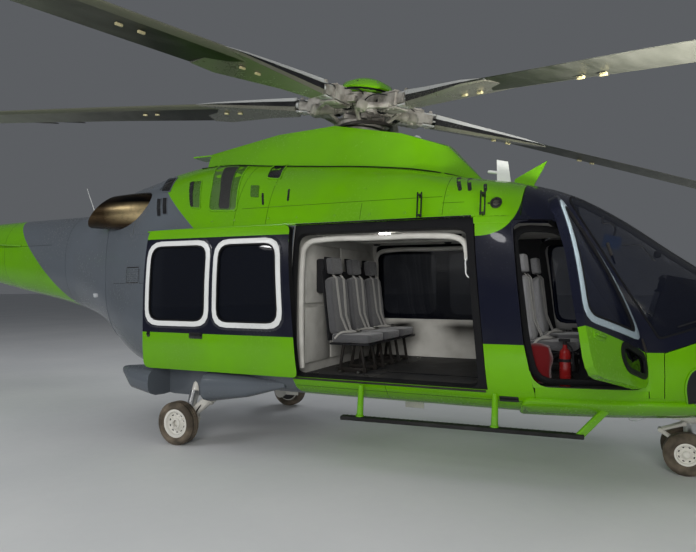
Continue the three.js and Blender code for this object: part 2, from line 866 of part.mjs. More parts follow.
function sponsonAndHull() {
  const whole = aftHull(-REST_GAP);
  const well = box(
    WELL.back + REST_GAP,
    WELL.front - REST_GAP,
    WELL.outer + REST_GAP,
    WELL.inner - REST_GAP,
    WELL.foot,
    WELL.top - REST_GAP,
  );
  return whole.add(sponson(REST_GAP)).subtract(well);
}

const STEP = { back: [250, -1140], front: [2240, -1020], z: 435, thick: 34, wide: 84 };
const STEP_POSTS = [
  [1568, -1060],
  [420, -1130],
];

function stepBody(side) {
  const { back, front, z, thick, wide } = STEP;
  const bar = loft(
    [back, front].map(([x, y]) =>
      [
        [-0.5, -0.5],
        [0.5, -0.5],
        [0.5, 0.5],
        [-0.5, 0.5],
      ].map(([across, up]) => new THREE.Vector3(x, y + across * wide, z + up * thick)),
    ),
  );
  const posts = STEP_POSTS.map(([x, y]) => rod([x, y, z], [x, y + 35, 740], 24, 8));
  const brace = rod([front[0] - 30, front[1], z], [2400, -900, 640], 26, 8);
  const whole = joined([bar, ...posts, brace]).subtract(cabinHull(-REST_GAP));
  return mirrored(biggest(whole), side);
}

// Main rotor

const AIRFOIL = [
  [0, 0],
  [0.03, 0.5],
  [0.15, 1],
  [0.4, 1],
  [0.98, 0.1],
  [0.98, -0.1],
  [0.4, -0.75],
  [0.15, -0.85],
  [0.03, -0.45],
];

function bladeBody() {
  const rings = BLADE.map(([r, chord, thick, twist, droop, behind]) => {
    const lead = chord * (1 - behind);
    const pitch = deg(twist);
    return AIRFOIL.map(([along, up]) => {
      const y = lead - along * chord;
      const z = (up * thick) / 2;
      return new THREE.Vector3(
        r,
        y * Math.cos(pitch) - z * Math.sin(pitch),
        y * Math.sin(pitch) + z * Math.cos(pitch) - droop,
      );
    });
  });
  return loft(rings);
}

function spun(body, angle) {
  return body.rotate([0, 0, angle]);
}

const MAST_RADIUS = 75;
// One arm of the hub, lying along X: the arm, the blade cuff, the cuff's end and the pitch horn.
// Columns: x from, to, y from, to, z from, to
const ARM_BLOCKS = [
  [150, 420, -70, 70, -55, 60],
  [360, 640, -105, 105, -62, 66],
  [600, 752, -86, 86, -44, 48],
  [390, 470, 90, 200, -45, 15],
];
// The damper's rod, the damper and the pitch link: from, to, radius, sides
const ARM_RODS = [
  [[560, -60, -40], [420, -330, -95], 32, 6],
  [[420, -330, -95], [140, -170, -20], 46, 8],
  [[430, 180, -20], [215, 110, -190], 16, 6],
];

function hubBody() {
  const plate = rod([0, 0, -75], [0, 0, 95], 250, 20);
  const arm = joined([
    ...ARM_BLOCKS.map((block) => box(...block)),
    ...ARM_RODS.map((parts) => rod(...parts)),
  ]);
  const arms = [];
  for (let i = 0; i < BLADE_COUNT; i++) {
    arms.push(spun(arm, FIRST_BLADE + (360 / BLADE_COUNT) * i));
  }
  const spider = rod([0, 0, -215], [0, 0, -165], 250, 20);
  const mast = rod([0, 0, -780], [0, 0, 130], MAST_RADIUS, 20);
  return joined([plate, ...arms, spider, mast]);
}

// Radius and height
const CAP = [
  [0, 135],
  [330, 135],
  [365, 175],
  [300, 245],
  [180, 300],
  [0, 325],
];

function capBody() {
  const profile = CAP.map((p) => new THREE.Vector2(...p));
  return solid(new THREE.LatheGeometry(profile, 28).rotateX(Math.PI / 2));
}

function swashBody() {
  const bore = rod([0, 0, -900], [0, 0, -200], MAST_RADIUS + RUNNING_GAP, 20);
  const guide = rod([0, 0, -830], [0, 0, -240], 110, 20);
  return rod([0, 0, -290], [0, 0, -230], 210, 20).add(guide).subtract(bore);
}

// Tail rotor

// Columns: radius, chord, thickness, twist in degrees
const TAIL_BLADE = [
  [90, 90, 44, 0],
  [330, 190, 30, 8],
  [TAIL_RADIUS - 120, 210, 22, 4],
  [TAIL_RADIUS, 150, 12, 3],
];

function tailRotorBody() {
  const parts = [rod([0, -60, 0], [0, 120, 0], 62, 14), rod([0, -75, 0], [0, -30, 0], 110, 14)];
  for (let i = 0; i < TAIL_BLADES; i++) {
    const rings = TAIL_BLADE.map(([r, chord, thick, twist]) =>
      AIRFOIL.map(([along, up]) => {
        const x = chord * (0.35 - along);
        const y = (up * thick) / 2;
        const a = deg(twist);
        return new THREE.Vector3(
          x * Math.cos(a) - y * Math.sin(a),
          x * Math.sin(a) + y * Math.cos(a) - 50,
          r,
        );
      }),
    );
    parts.push(loft(rings).rotate([0, 90 + (360 / TAIL_BLADES) * i, 0]));
  }
  return joined(parts);
}

// Cabin and cockpit fittings

// Side view of a seat's back, from the seat's middle
const SEAT_BACK = [
  [-230, 1080],
  [-130, 1080],
  [-230, 1900],
  [-320, 1900],
];

function seatBody(x, y) {
  const back = SEAT_BACK.map(([along, z]) => [x + along, z]);
  return joined([
    box(x - 220, x + 220, y - 230, y + 230, 1030, 1130),
    sidePrism(back, y - 220, y + 220),
    box(x - 160, x + 160, y - 150, y + 150, FLOOR_TOP + GAP, 1040),
  ]);
}

const PILOT_SEAT = [1960, -430];
const CABIN_SEAT_X = 120;
const CABIN_SEAT_ROWS = [-480, 0, 480];

function cabinSeatsBody() {
  const rail = box(0, 60, -700, 700, FLOOR_TOP + GAP, 800);
  return joined([rail, ...CABIN_SEAT_ROWS.map((y) => seatBody(CABIN_SEAT_X, y))]);
}

// Side view of the instrument panel with its glare shield, and the room it may fill
const BINNACLE = [
  [2760, FLOOR_TOP],
  [3000, FLOOR_TOP],
  [3180, 1330],
  [3180, 1540],
  [3060, 1635],
  [2840, 1672],
  [2690, 1150],
];
const PANEL_ROOM = [
  [2600, 1080],
  [2700, 1110],
  [3200, 1300],
  [3200, 1800],
  [2600, 1800],
];
const CONSOLE = [2150, 2780, -120, 120, FLOOR_TOP, 1050];

function panelBody() {
  const binnacle = sidePrism(BINNACLE, -560, 560);
  const room = box(2000, NOSE_JOINT - 4, -FAR, FAR, FLOOR_TOP, 1500).add(
    sidePrism(PANEL_ROOM, -FAR, FAR),
  );
  return binnacle
    .add(box(...CONSOLE))
    .intersect(hull(3600, 1500, 7, WALL + 3))
    .intersect(room);
}

// Assembly

add("belly", bellyBody(), GREEN);
add("nose", noseBody(), GREEN);
add("roof", roofBody(), SLATE);
add("windscreen_frame", screenFrameBody(), SLATE);
add("aft_fuselage", aftBody(), SLATE);
add("engine_cowling", cowlingBody(), GREEN);
add("mast_fairing", fairingBody(), GREEN);
add("engines", engineBody(), STEEL);
add("tail_boom", boomBody(), GREEN);
add("tail_fin", finBody(), GREEN);
add("instrument_panel", panelBody(), BLACK);
add("cabin_seats", cabinSeatsBody(), SEAT_CLOTH);
add("baggage_door", baggageDoorBody(), SLATE);

for (const [name, side] of SIDES) {
  add(`tailplane_${name}`, tailplaneBody(side), GREEN);
  add(`pillar_${name}`, pillarBody(side), SLATE);
  add(`windscreen_${name}`, screenGlassBody(side), GLASS_TINT);
  add(`exhaust_${name}`, mirrored(exhaustBody(), side), HOT_METAL);
  add(`step_${name}`, stepBody(side), BLACK);
  add(`main_leg_${name}`, mainLegBody(side), WHITE);
  add(`main_rim_${name}`, mirrored(mainRimBody(), side), WHITE);
  add(`main_tyre_${name}`, mirrored(mainTyreBody(), side), RUBBER);
  add(`nose_tyre_${name}`, mirrored(noseTyreBody(), side), RUBBER);
  add(`pilot_seat_${name}`, mirrored(seatBody(...PILOT_SEAT), side), SEAT_CLOTH);

  const open = side < 0;
  const cabinDoor = new THREE.Group();
  if (open) cabinDoor.position.set(-SLIDE_BACK, -SLIDE_OUT, 0);
  add(`cabin_door_${name}`, mirrored(cabinDoorBody(), side), GREEN, cabinDoor);
  add(`cabin_glass_${name}`, mirrored(cabinPaneBody(), side), GLASS_TINT, cabinDoor);
  helicopter.add(cabinDoor);

  const [foot, head] = [HINGE_FOOT, HINGE_HEAD].map(([x, y, z]) => new THREE.Vector3(x, side * y, z));
  const cockpitDoor = new THREE.Group();
  cockpitDoor.position.copy(foot);
  if (open) cockpitDoor.rotateOnAxis(head.sub(foot).normalize(), deg(COCKPIT_OPEN));
  const fromHinge = foot.clone().negate().toArray();
  const door = mirrored(cockpitDoorBody(), side).translate(fromHinge);
  const pane = mirrored(cockpitPaneBody(), side).translate(fromHinge);
  add(`cockpit_door_${name}`, door, GREEN, cockpitDoor);
  add(`cockpit_glass_${name}`, pane, GLASS_TINT, cockpitDoor);
  helicopter.add(cockpitDoor);
}

add("nose_leg", noseLegBody(), WHITE);
add("nose_fork", noseForkBody(), WHITE);
add("nose_rims", noseRimsBody(), WHITE);

const rotor = new THREE.Group();
rotor.position.set(0, 0, HUB_Z);
rotor.rotation.y = deg(MAST_TILT);
add("swashplate", swashBody(), STEEL, rotor);
add("rotor_hub", hubBody(), STEEL, rotor);
add("rotor_cap", capBody(), GREEN, rotor);
for (let i = 0; i < BLADE_COUNT; i++) {
  const blade = spun(bladeBody(), FIRST_BLADE + (360 / BLADE_COUNT) * i);
  add(`rotor_blade_${i + 1}`, blade, BLADE_GREY, rotor);
}
helicopter.add(rotor);

const tailRotor = new THREE.Group();
tailRotor.position.set(...TAIL_HUB);
add("tail_rotor", tailRotorBody(), BLADE_GREY, tailRotor);
helicopter.add(tailRotor);

helicopter.position.set(...ORIGIN_SHIFT);

export default helicopter;
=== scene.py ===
"""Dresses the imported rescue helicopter: paint zones, fittings, cabin, gear detail, light and camera."""

import json
import math

import bmesh
import bpy
from bpy.props import FloatProperty, FloatVectorProperty, IntProperty, PointerProperty
from mathutils import Matrix, Vector

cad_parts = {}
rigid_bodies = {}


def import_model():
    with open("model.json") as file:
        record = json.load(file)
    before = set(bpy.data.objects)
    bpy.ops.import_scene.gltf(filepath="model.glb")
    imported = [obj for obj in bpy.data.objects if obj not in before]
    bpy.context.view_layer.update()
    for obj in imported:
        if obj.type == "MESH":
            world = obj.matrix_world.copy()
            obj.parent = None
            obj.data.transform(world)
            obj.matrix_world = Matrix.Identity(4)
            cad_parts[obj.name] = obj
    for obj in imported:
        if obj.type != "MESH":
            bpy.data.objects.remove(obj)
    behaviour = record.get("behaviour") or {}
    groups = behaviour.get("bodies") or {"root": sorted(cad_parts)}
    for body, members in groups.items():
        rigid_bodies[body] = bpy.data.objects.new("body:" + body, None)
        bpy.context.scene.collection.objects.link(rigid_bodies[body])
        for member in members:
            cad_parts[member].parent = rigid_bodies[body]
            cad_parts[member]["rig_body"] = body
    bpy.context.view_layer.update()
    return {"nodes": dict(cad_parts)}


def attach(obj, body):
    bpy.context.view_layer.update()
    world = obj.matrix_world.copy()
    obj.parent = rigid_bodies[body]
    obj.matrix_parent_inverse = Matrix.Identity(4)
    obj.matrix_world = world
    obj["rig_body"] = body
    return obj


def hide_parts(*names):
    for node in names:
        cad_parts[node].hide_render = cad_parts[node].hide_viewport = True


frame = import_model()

bl_info = {
    "name": "Rescue helicopter dressing",
    "version": (1, 0, 0),
    "blender": (4, 5, 0),
    "location": "View3D > Sidebar > Helicopter",
    "description": "Paints the packed helicopter and adds its fittings, cabin, gear detail and studio",
    "category": "Object",
}

NODES = frame["nodes"]

# Places are given from the rotor mast, in metres: x to the nose, y to port, z up from the ground
MAST = Vector((1.62, 0.1, 0))
SIDES = (("right", -1), ("left", 1))
FRONT, ACROSS, UP = Vector((1, 0, 0)), Vector((0, 1, 0)), Vector((0, 0, 1))

# Hull cross-sections, as the CAD part has them
# Columns: x, half width, bottom, waist, top, power of the lower half, power of the upper half
HULL = (
    (3.88, 0.07, 0.9, 0.985, 1.07, 2, 2),
    (3.8, 0.29, 0.77, 0.98, 1.19, 2.1, 2),
    (3.56, 0.56, 0.65, 0.985, 1.4, 2.4, 2),
    (3.26, 0.77, 0.58, 1, 1.62, 2.8, 2),
    (2.9, 0.92, 0.545, 1.02, 1.88, 3.2, 2.1),
    (2.5, 1.01, 0.525, 1.05, 2.18, 3.6, 2.3),
    (2.1, 1.055, 0.515, 1.08, 2.412, 4, 2.6),
    (1.7, 1.08, 0.51, 1.1, 2.525, 4.2, 3.4),
    (1.3, 1.085, 0.51, 1.1, 2.59, 4.2, 3.7),
    (0.6, 1.085, 0.51, 1.11, 2.75, 4.2, 3.3),
    (-0.2, 1.085, 0.51, 1.12, 2.872, 4.2, 2.9),
    (-1, 1.075, 0.52, 1.15, 2.95, 4, 2.7),
    (-1.6, 1.03, 0.57, 1.23, 2.995, 3.6, 2.6),
    (-2.1, 0.96, 0.58, 1.35, 2.965, 3.2, 2.5),
    (-2.6, 0.82, 0.65, 1.45, 2.85, 2.8, 2.7),
    (-2.95, 0.69, 0.79, 1.6, 2.755, 2.6, 2.9),
    (-3.25, 0.6, 1.04, 1.74, 2.57, 2.5, 2.5),
    (-3.6, 0.53, 1.21, 1.83, 2.525, 2.4, 2.3),
    (-4.2, 0.46, 1.37, 1.92, 2.51, 2.4, 2.3),
    (-5.2, 0.37, 1.545, 2, 2.5, 2.3, 2.2),
    (-6.4, 0.27, 1.78, 2.12, 2.47, 2.2, 2.1),
    (-7.2, 0.19, 2.01, 2.24, 2.45, 2.1, 2),
)
CABIN_REAR = -0.3
DECK = 2.16

# The open doors: the starboard cockpit door turned on its raked hinge, the cabin door slid back
HINGE_FOOT = Vector((2.69, -0.985, 1.05))
HINGE_HEAD = Vector((2.352, -0.897, 2.12))
DOOR_TURN = math.radians(61)
DOOR_SLIDE = Vector((-1.7, -0.085, 0))

HUB = Vector((0, 0, 3.49))
MAST_TILT = math.radians(7.3)
BLADE_COUNT = 5
FIRST_BLADE = math.radians(184.6)


def shade(name, description, value):
    return FloatVectorProperty(name=name, description=description, subtype="COLOR", default=value)


def distance(name, description, value):
    return FloatProperty(name=name, description=description, unit="LENGTH", default=value)


class HelicopterColours(bpy.types.PropertyGroup):
    """Colours of the finishes, as linear values"""

    green: shade("Green", "Gloss green of hull and tail", (0.122, 0.355, 0.001))
    slate: shade("Slate", "Grey of the rear fuselage", (0.098, 0.112, 0.13))
    # Navy: the slate drawn much darker, painted shade on the front of the hull, with a slight blue tint
    navy_in_shade: shade("Navy", "Dark blue-grey of roof, pillars and doors", (0.006, 0.007, 0.016))
    window_trim: shade("Window trim", "Pale blue-grey frame of the door window", (0.34, 0.42, 0.47))
    blade_dark: shade("Blade dark", "Grey-green of the rotor blades", (0.016, 0.02, 0.011))
    # The cream is painted light: the lit look of the blades' undersides
    blade_lit_underside: shade("Blade pale", "Cream underside of the outer blades", (0.34, 0.34, 0.29))
    hub: shade("Hub metal", "Pale beige metal of the rotor head", (0.42, 0.4, 0.36))
    lining: shade("Lining", "Pale lining of the cabin", (0.56, 0.55, 0.51))
    seat: shade("Seat cloth", "Grey cloth of the seats", (0.1, 0.1, 0.105))


class HelicopterSizes(bpy.types.PropertyGroup):
    """Sizes that a user would change"""

    belt: distance("Belt line", "Height where dark paint meets green", 1.12)
    door_trim: distance("Door window trim", "Width of the pale frame", 0.05)
    cabin_trim: distance("Cabin window trim", "Width of the white frame", 0.052)
    patch_step: distance("Patch step", "Longest edge of a patch laid on the hull", 0.12)
    lens: FloatProperty(name="Lens", description="Focal length of the camera in millimetres", default=31.63)
    yaw: FloatProperty(name="Camera yaw", description="Turn of the view towards the tail", subtype="ANGLE",
                       default=math.radians(24.4))
    pitch: FloatProperty(name="Camera pitch", description="Upward tilt of the view", subtype="ANGLE",
                         default=math.radians(1.02))
    eye: FloatVectorProperty(name="Camera place", description="Where the camera stands", unit="LENGTH",
                             default=(4.155, -5.94, 1.58))
    tread_ribs: IntProperty(name="Step ribs", description="Grip ribs on each boarding step", default=46)


def colours():
    return bpy.context.scene.helicopter_colours


def sizes():
    return bpy.context.scene.helicopter_sizes


# Hull surface


def section(x):
    """Half width, bottom, waist, top and the two powers of the hull at x."""
    last = len(HULL) - 1
    i = 0
    while i < last - 1 and x < HULL[i + 1][0]:
        i += 1
    before, here, after, beyond = HULL[max(i - 1, 0)], HULL[i], HULL[i + 1], HULL[min(i + 2, last)]
    span = after[0] - here[0]
    t = (x - here[0]) / span
    rise = 3 * t * t - 2 * t ** 3
    lean = t ** 3 - 2 * t * t + t
    fall = t ** 3 - t * t
    values = []
    for k in range(1, 7):
        slope_here = (after[k] - before[k]) / (after[0] - before[0]) * span
        slope_after = (beyond[k] - here[k]) / (beyond[0] - here[0]) * span
        values.append((1 - rise) * here[k] + lean * slope_here + rise * after[k] + fall * slope_after)
    return values


def hull_excess(p):
    """Negative inside the hull, positive outside, zero on it."""
    half, bottom, waist, top, low, high = section(p[0])
    power, reach = (high, top - waist) if p[2] > waist else (low, waist - bottom)
    return (abs(p[1]) / half) ** power + (abs(p[2] - waist) / reach) ** power - 1


def hull_slope(p):
    """The outward direction of the hull at p, and the distance of p from it."""
    step = 0.004
    here = hull_excess(p)
    slope = Vector([(hull_excess([p[k] + (step if k == axis else 0) for k in range(3)]) - here) / step
                    for axis in range(3)])
    steepness = max(slope.length, 1e-6)
    return slope / steepness, here / steepness


def lifted(p, lift):
    return p + hull_slope(p)[0] * lift


def side_of_hull(x, z):
    """Half width of the hull at x and height z."""
    half, bottom, waist, top, low, high = section(x)
    power, share = (high, (z - waist) / (top - waist)) if z > waist else (low, (waist - z) / (waist - bottom))
    return half * max(1e-4, 1 - min(abs(share), 1) ** power) ** (1 / power)


def on_side(x, z, side, lift=0):
    """The place on the hull's side at x and z, lifted outwards."""
    return lifted(Vector((x, side * side_of_hull(x, z), z)), lift)


def on_crown(x, y, lift=0):
    """The place on the hull's top at x and y, lifted outwards."""
    half, _, waist, top, _, high = section(x)
    z = waist + (top - waist) * (1 - (abs(y) / half) ** high) ** (1 / high)
    return lifted(Vector((x, y, z)), lift)


def on_belly(x, y, lift=0):
    """The place under the hull at x and y, lifted outwards."""
    half, bottom, waist, _, low, _ = section(x)
    z = waist - (waist - bottom) * (1 - (abs(y) / half) ** low) ** (1 / low)
    return lifted(Vector((x, y, z)), lift)


def door_move(node):
    """From where a door is drawn, closed, to where it stands."""
    if node == "cockpit_door_right":
        turn = Matrix.Rotation(DOOR_TURN, 4, HINGE_HEAD - HINGE_FOOT)
        return Matrix.Translation(HINGE_FOOT) @ turn @ Matrix.Translation(-HINGE_FOOT)
    if node == "cabin_door_right":
        return Matrix.Translation(DOOR_SLIDE)
    return Matrix.Identity(4)


def rotor_move(turn=0):
    """From the rotor's own axes, blade along x, to where it stands."""
    tilt = Matrix.Rotation(MAST_TILT, 4, "Y")
    return Matrix.Translation(HUB) @ tilt @ Matrix.Rotation(turn, 4, "Z")


def about(angle):
    return Matrix.Rotation(angle, 4, "Z")


# The finishes that go to each slot
SLOT_FINISHES = {
    "black_plastic": ("black enamel", "wire screen", "black plastic", "seal rubber", "grip tread",
                      "floor mat",
                      "display glass", "screen cover"),
    "green_paint": ("green paint", "green in painted shade"),
    "slate_paint": ("slate paint", "navy_in_shade paint"),
    "white_paint": ("white trim", "window trim", "white enamel", "blade root grey", "blade root in shade",
                    "pad cream"),
    "bare_metal": ("bare steel", "dark metal", "brass fitting", "head alloy"),
    "bright_metal": ("polished steel",),
    "hub_metal": ("hub metal",),
    "hot_metal": ("heated steel with painted sheen",),
    "blade_paint": ("blade olive",),
    "tyre_rubber": ("tyre rubber",),
    "seat_cloth": ("seat cloth", "pale cloth", "webbing", "red cloth"),
    "cabin_lining": ("cabin lining",),
    "lamp_glass": ("lamp glass", "red glass", "green glass", "ceiling light"),
    "clear_glass": ("visor glass",),
    "red_paint": ("red enamel",),
}
SLOT_OF = {finish: slot for slot, finishes in SLOT_FINISHES.items() for finish in finishes}


# Shapes, each a mesh of its own, drawn from the mast


def joined(shapes):
    """One mesh of all the shapes, which may come in lists."""
    whole = bmesh.new()
    for shape in shapes:
        part = shape if isinstance(shape, bmesh.types.BMesh) else joined(shape)
        mesh = bpy.data.meshes.new("passing")
        part.to_mesh(mesh)
        part.free()
        whole.from_mesh(mesh)
        bpy.data.meshes.remove(mesh)
    return whole


def moved(shapes, move):
    """The shapes, joined and moved."""
    whole = joined(shapes)
    whole.transform(move)
    return whole


def linked(mesh, name, materials, body, slot):
    """An object of a mesh that rides on a body."""
    piece = bpy.data.objects.new(name, mesh)
    bpy.context.scene.collection.objects.link(piece)
    for material in materials:
        mesh.materials.append(bpy.data.materials[material])
    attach(piece, body)
    return piece


def keep(name, finish, *shapes, body="airframe", slot=None, move=None, crease=35):
    """Joins shapes into a finished object with its finish; the slot it works out, from the finish unless one
    is given, goes unused.
    """
    bm = joined(shapes)
    if move is not None:
        bm.transform(move)
    bm.transform(Matrix.Translation(MAST))
    bmesh.ops.remove_doubles(bm, verts=bm.verts, dist=1e-6)
    bmesh.ops.recalc_face_normals(bm, faces=bm.faces)
    limit = math.radians(crease)
    for face in bm.faces:
        face.smooth = True
    for edge in bm.edges:
        if len(edge.link_faces) == 2:
            edge.smooth = edge.calc_face_angle(0) < limit
    mesh = bpy.data.meshes.new(name)
    bm.to_mesh(mesh)
    bm.free()
    return linked(mesh, name, [finish], body, slot or SLOT_OF[finish])


def soften(bm, edges, rim, segments=2):
    """Rounds edges off."""
    bmesh.ops.bevel(bm, geom=edges, offset=rim, segments=segments, profile=0.5, affect="EDGES", material=-1)


def rod(start, end, radius, sides=12, far_radius=None, rim=0):
    """A closed rod or cone from start to end."""
    start, end = Vector(start), Vector(end)
    along = end - start
    turn = along.to_track_quat("Z", "Y").to_matrix().to_4x4()
    bm = bmesh.new()
    bmesh.ops.create_cone(bm, cap_ends=True, segments=sides, radius1=radius,
                          radius2=radius if far_radius is None else far_radius, depth=along.length,
                          matrix=Matrix.Translation((start + end) / 2) @ turn)
    if rim:
        soften(bm, [edge for edge in bm.edges if edge.calc_face_angle(0) > 1.2], rim)
    return bm


def pin(place, half, radius, sides=12, way=ACROSS, rim=0):
    """A rod through a place, half being its reach to each end."""
    return rod(Vector(place) - way * half, Vector(place) + way * half, radius, sides, rim=rim)


def loft(rings, closed=False):
    """A skin over rings of places, with its ends closed if asked."""
    bm = bmesh.new()
    rings = [[bm.verts.new(place) for place in ring] for ring in rings]
    for near, far in zip(rings, rings[1:]):
        for k in range(len(near)):
            bm.faces.new((near[k - 1], near[k], far[k], far[k - 1]))
    if closed:
        bm.faces.new(rings[0][::-1])
        bm.faces.new(rings[-1])
    bmesh.ops.recalc_face_normals(bm, faces=bm.faces)
    return bm


def cube(size, centre=(0, 0, 0)):
    """A box with sharp edges."""
    bm = bmesh.new()
    bmesh.ops.create_cube(bm, size=1)
    bmesh.ops.scale(bm, vec=size, verts=bm.verts)
    bmesh.ops.translate(bm, vec=centre, verts=bm.verts)
    return bm


def block(low, high, rim=0.004, move=None):
    """A box with rounded edges, from its low corner to its high one."""
    low, high = Vector(low), Vector(high)
    bm = cube(high - low, (low + high) / 2)
    soften(bm, bm.edges[:], rim)
    if move is not None:
        bm.transform(move)
    return bm


def slab(x0, x1, y, half, z0, z1, rim=0.004):
    """A block given by its middle across and its half width."""
    return block((x0, y - half, z0), (x1, y + half, z1), rim)


def spun(profile, centre=(0, 0, 0), axis=UP, steps=32):
    """A closed profile of (radius, along) spun round an axis through centre."""
    bm = bmesh.new()
    verts = [bm.verts.new((r, 0, a)) for r, a in profile]
    edges = [bm.edges.new((verts[i - 1], verts[i])) for i in range(len(verts))]
    bmesh.ops.spin(bm, geom=verts + edges, cent=(0, 0, 0), axis=UP, angle=2 * math.pi, steps=steps,
                   use_merge=True)
    bmesh.ops.remove_doubles(bm, verts=bm.verts, dist=1e-5)
    bmesh.ops.recalc_face_normals(bm, faces=bm.faces)
    turn = Vector(axis).to_track_quat("Z", "Y").to_matrix().to_4x4()
    bm.transform(Matrix.Translation(Vector(centre)) @ turn)
    return bm


def pipe(points, radius, rings=2):
    """A bent pipe through the points; rings sets how round it is."""
    line = bpy.data.curves.new("passing", "CURVE")
    line.dimensions = "3D"
    line.bevel_depth = radius
    line.bevel_resolution = rings
    line.use_fill_caps = True
    spline = line.splines.new("BEZIER")
    spline.bezier_points.add(len(points) - 1)
    spline.resolution_u = 6
    for knot, point in zip(spline.bezier_points, points):
        knot.co = point
        knot.handle_left_type = knot.handle_right_type = "AUTO"
    carrier = bpy.data.objects.new("passing", line)
    mesh = bpy.data.meshes.new_from_object(carrier)
    bm = bmesh.new()
    bm.from_mesh(mesh)
    bpy.data.objects.remove(carrier)
    bpy.data.curves.remove(line)
    bpy.data.meshes.remove(mesh)
    return bm


def bolt(place, out=UP, radius=0.008, height=0.005):
    """A six-sided bolt head."""
    place, out = Vector(place), Vector(out).normalized()
    return rod(place - out * height, place + out * height, radius, sides=6)


def hull_bolt(x, z, side, lift, radius, height):
    """A bolt on the hull's side, square to it."""
    return bolt(on_side(x, z, side, lift), hull_slope(on_side(x, z, side))[0], radius, height)


# Outlines in the side view, and what is laid on the hull along them


def rect(x0, x1, z0, z1):
    return [(x0, z0), (x1, z0), (x1, z1), (x0, z1)]


def angles(count, first=0):
    return [first + 2 * math.pi * k / count for k in range(count)]


def polar(radius, angle, z=0):
    return Vector((radius * math.cos(angle), radius * math.sin(angle), z))


def circle(x, z, radius, sides=20):
    return [(x + radius * math.cos(a), z + radius * math.sin(a)) for a in angles(sides)]


def oblong(x, z, long, wide, turn=0, sides=6):
    """A rounded slot outline, long along a line turned from upright."""
    points = []
    half = (long - wide) / 2
    for end, start in ((1, 0), (-1, math.pi)):
        for k in range(sides + 1):
            a = start + math.pi * k / sides
            u, w = wide / 2 * math.cos(a), end * half + wide / 2 * math.sin(a)
            points.append((x + u * math.cos(turn) - w * math.sin(turn),
                           z + u * math.sin(turn) + w * math.cos(turn)))
    return points


def anticlockwise(corners):
    """The outline turned the way that grown expects."""
    area = sum(corners[i - 1][0] * corners[i][1] - corners[i][0] * corners[i - 1][1]
               for i in range(len(corners)))
    return list(corners) if area > 0 else list(reversed(corners))


def rounded(corners, radius, steps=4):
    """An outline with each corner rounded, turned anticlockwise."""
    points = []
    corners = anticlockwise(corners)
    for i, corner in enumerate(corners):
        here = Vector(corner)
        back = Vector(corners[i - 1]) - here
        on = Vector(corners[(i + 1) % len(corners)]) - here
        cut = min(radius, back.length / 2.1, on.length / 2.1)
        start, end = here + back.normalized() * cut, here + on.normalized() * cut
        for k in range(steps + 1):
            t = k / steps
            points.append(start * (1 - t) ** 2 + here * 2 * t * (1 - t) + end * t * t)
    return points


def grown(corners, by):
    """The outline with its sides moved outwards, turned anticlockwise."""
    result = []
    corners = anticlockwise(corners)
    for i, corner in enumerate(corners):
        here = Vector(corner)
        back = (here - Vector(corners[i - 1])).normalized()
        on = (Vector(corners[(i + 1) % len(corners)]) - here).normalized()
        n1, n2 = Vector((back.y, -back.x)), Vector((on.y, -on.x))
        result.append(tuple(here + (n1 + n2) * (by / (1 + n1.dot(n2)))))
    return result


def flat_loop(bm, points):
    verts = [bm.verts.new((p[0], 0, p[1])) for p in points]
    edges = [bm.edges.new((verts[i - 1], verts[i])) for i in range(len(verts))]
    return verts, edges


def plate(outline, side, lift=0.004, sunk=0.012, hole=None, rim=0.0025, place=on_side):
    """A closed plate that follows the hull, with an optional hole."""
    bm = bmesh.new()
    verts, edges = flat_loop(bm, outline)
    if hole:
        _, inner = flat_loop(bm, hole)
        bmesh.ops.bridge_loops(bm, edges=edges + inner)
    else:
        bm.faces.new(verts)
    for axis, direction in ((0, Vector((1, 0, 0))), (2, UP)):
        low = min(v.co[axis] for v in bm.verts)
        high = max(v.co[axis] for v in bm.verts)
        cuts = int((high - low) / sizes().patch_step)
        for k in range(1, cuts + 1):
            bmesh.ops.bisect_plane(bm, geom=bm.verts[:] + bm.edges[:] + bm.faces[:],
                                   plane_co=direction * (low + (high - low) * k / (cuts + 1)),
                                   plane_no=direction)
    bmesh.ops.triangulate(bm, faces=bm.faces)
    raised = bmesh.ops.extrude_face_region(bm, geom=bm.faces[:], use_keep_orig=True)
    top = {item for item in raised["geom"] if isinstance(item, bmesh.types.BMVert)}
    for vert in bm.verts:
        vert.co = place(vert.co.x, vert.co.z, side, lift if vert in top else -sunk)
    bmesh.ops.recalc_face_normals(bm, faces=bm.faces)
    if rim:
        soften(bm, [edge for edge in bm.edges if edge.verts[0] in top and edge.verts[1] in top
                    and len(edge.link_faces) == 2 and edge.calc_face_angle(0) > 0.9], rim)
    return bm


def ring(corners, width, side, radius=0.03, lift=0.008, sunk=0.01, place=on_side):
    """A raised frame round an outline."""
    return plate(rounded(grown(corners, width), radius + width * 0.7), side, lift, sunk,
                 hole=rounded(corners, radius), place=place)


# Shader helpers


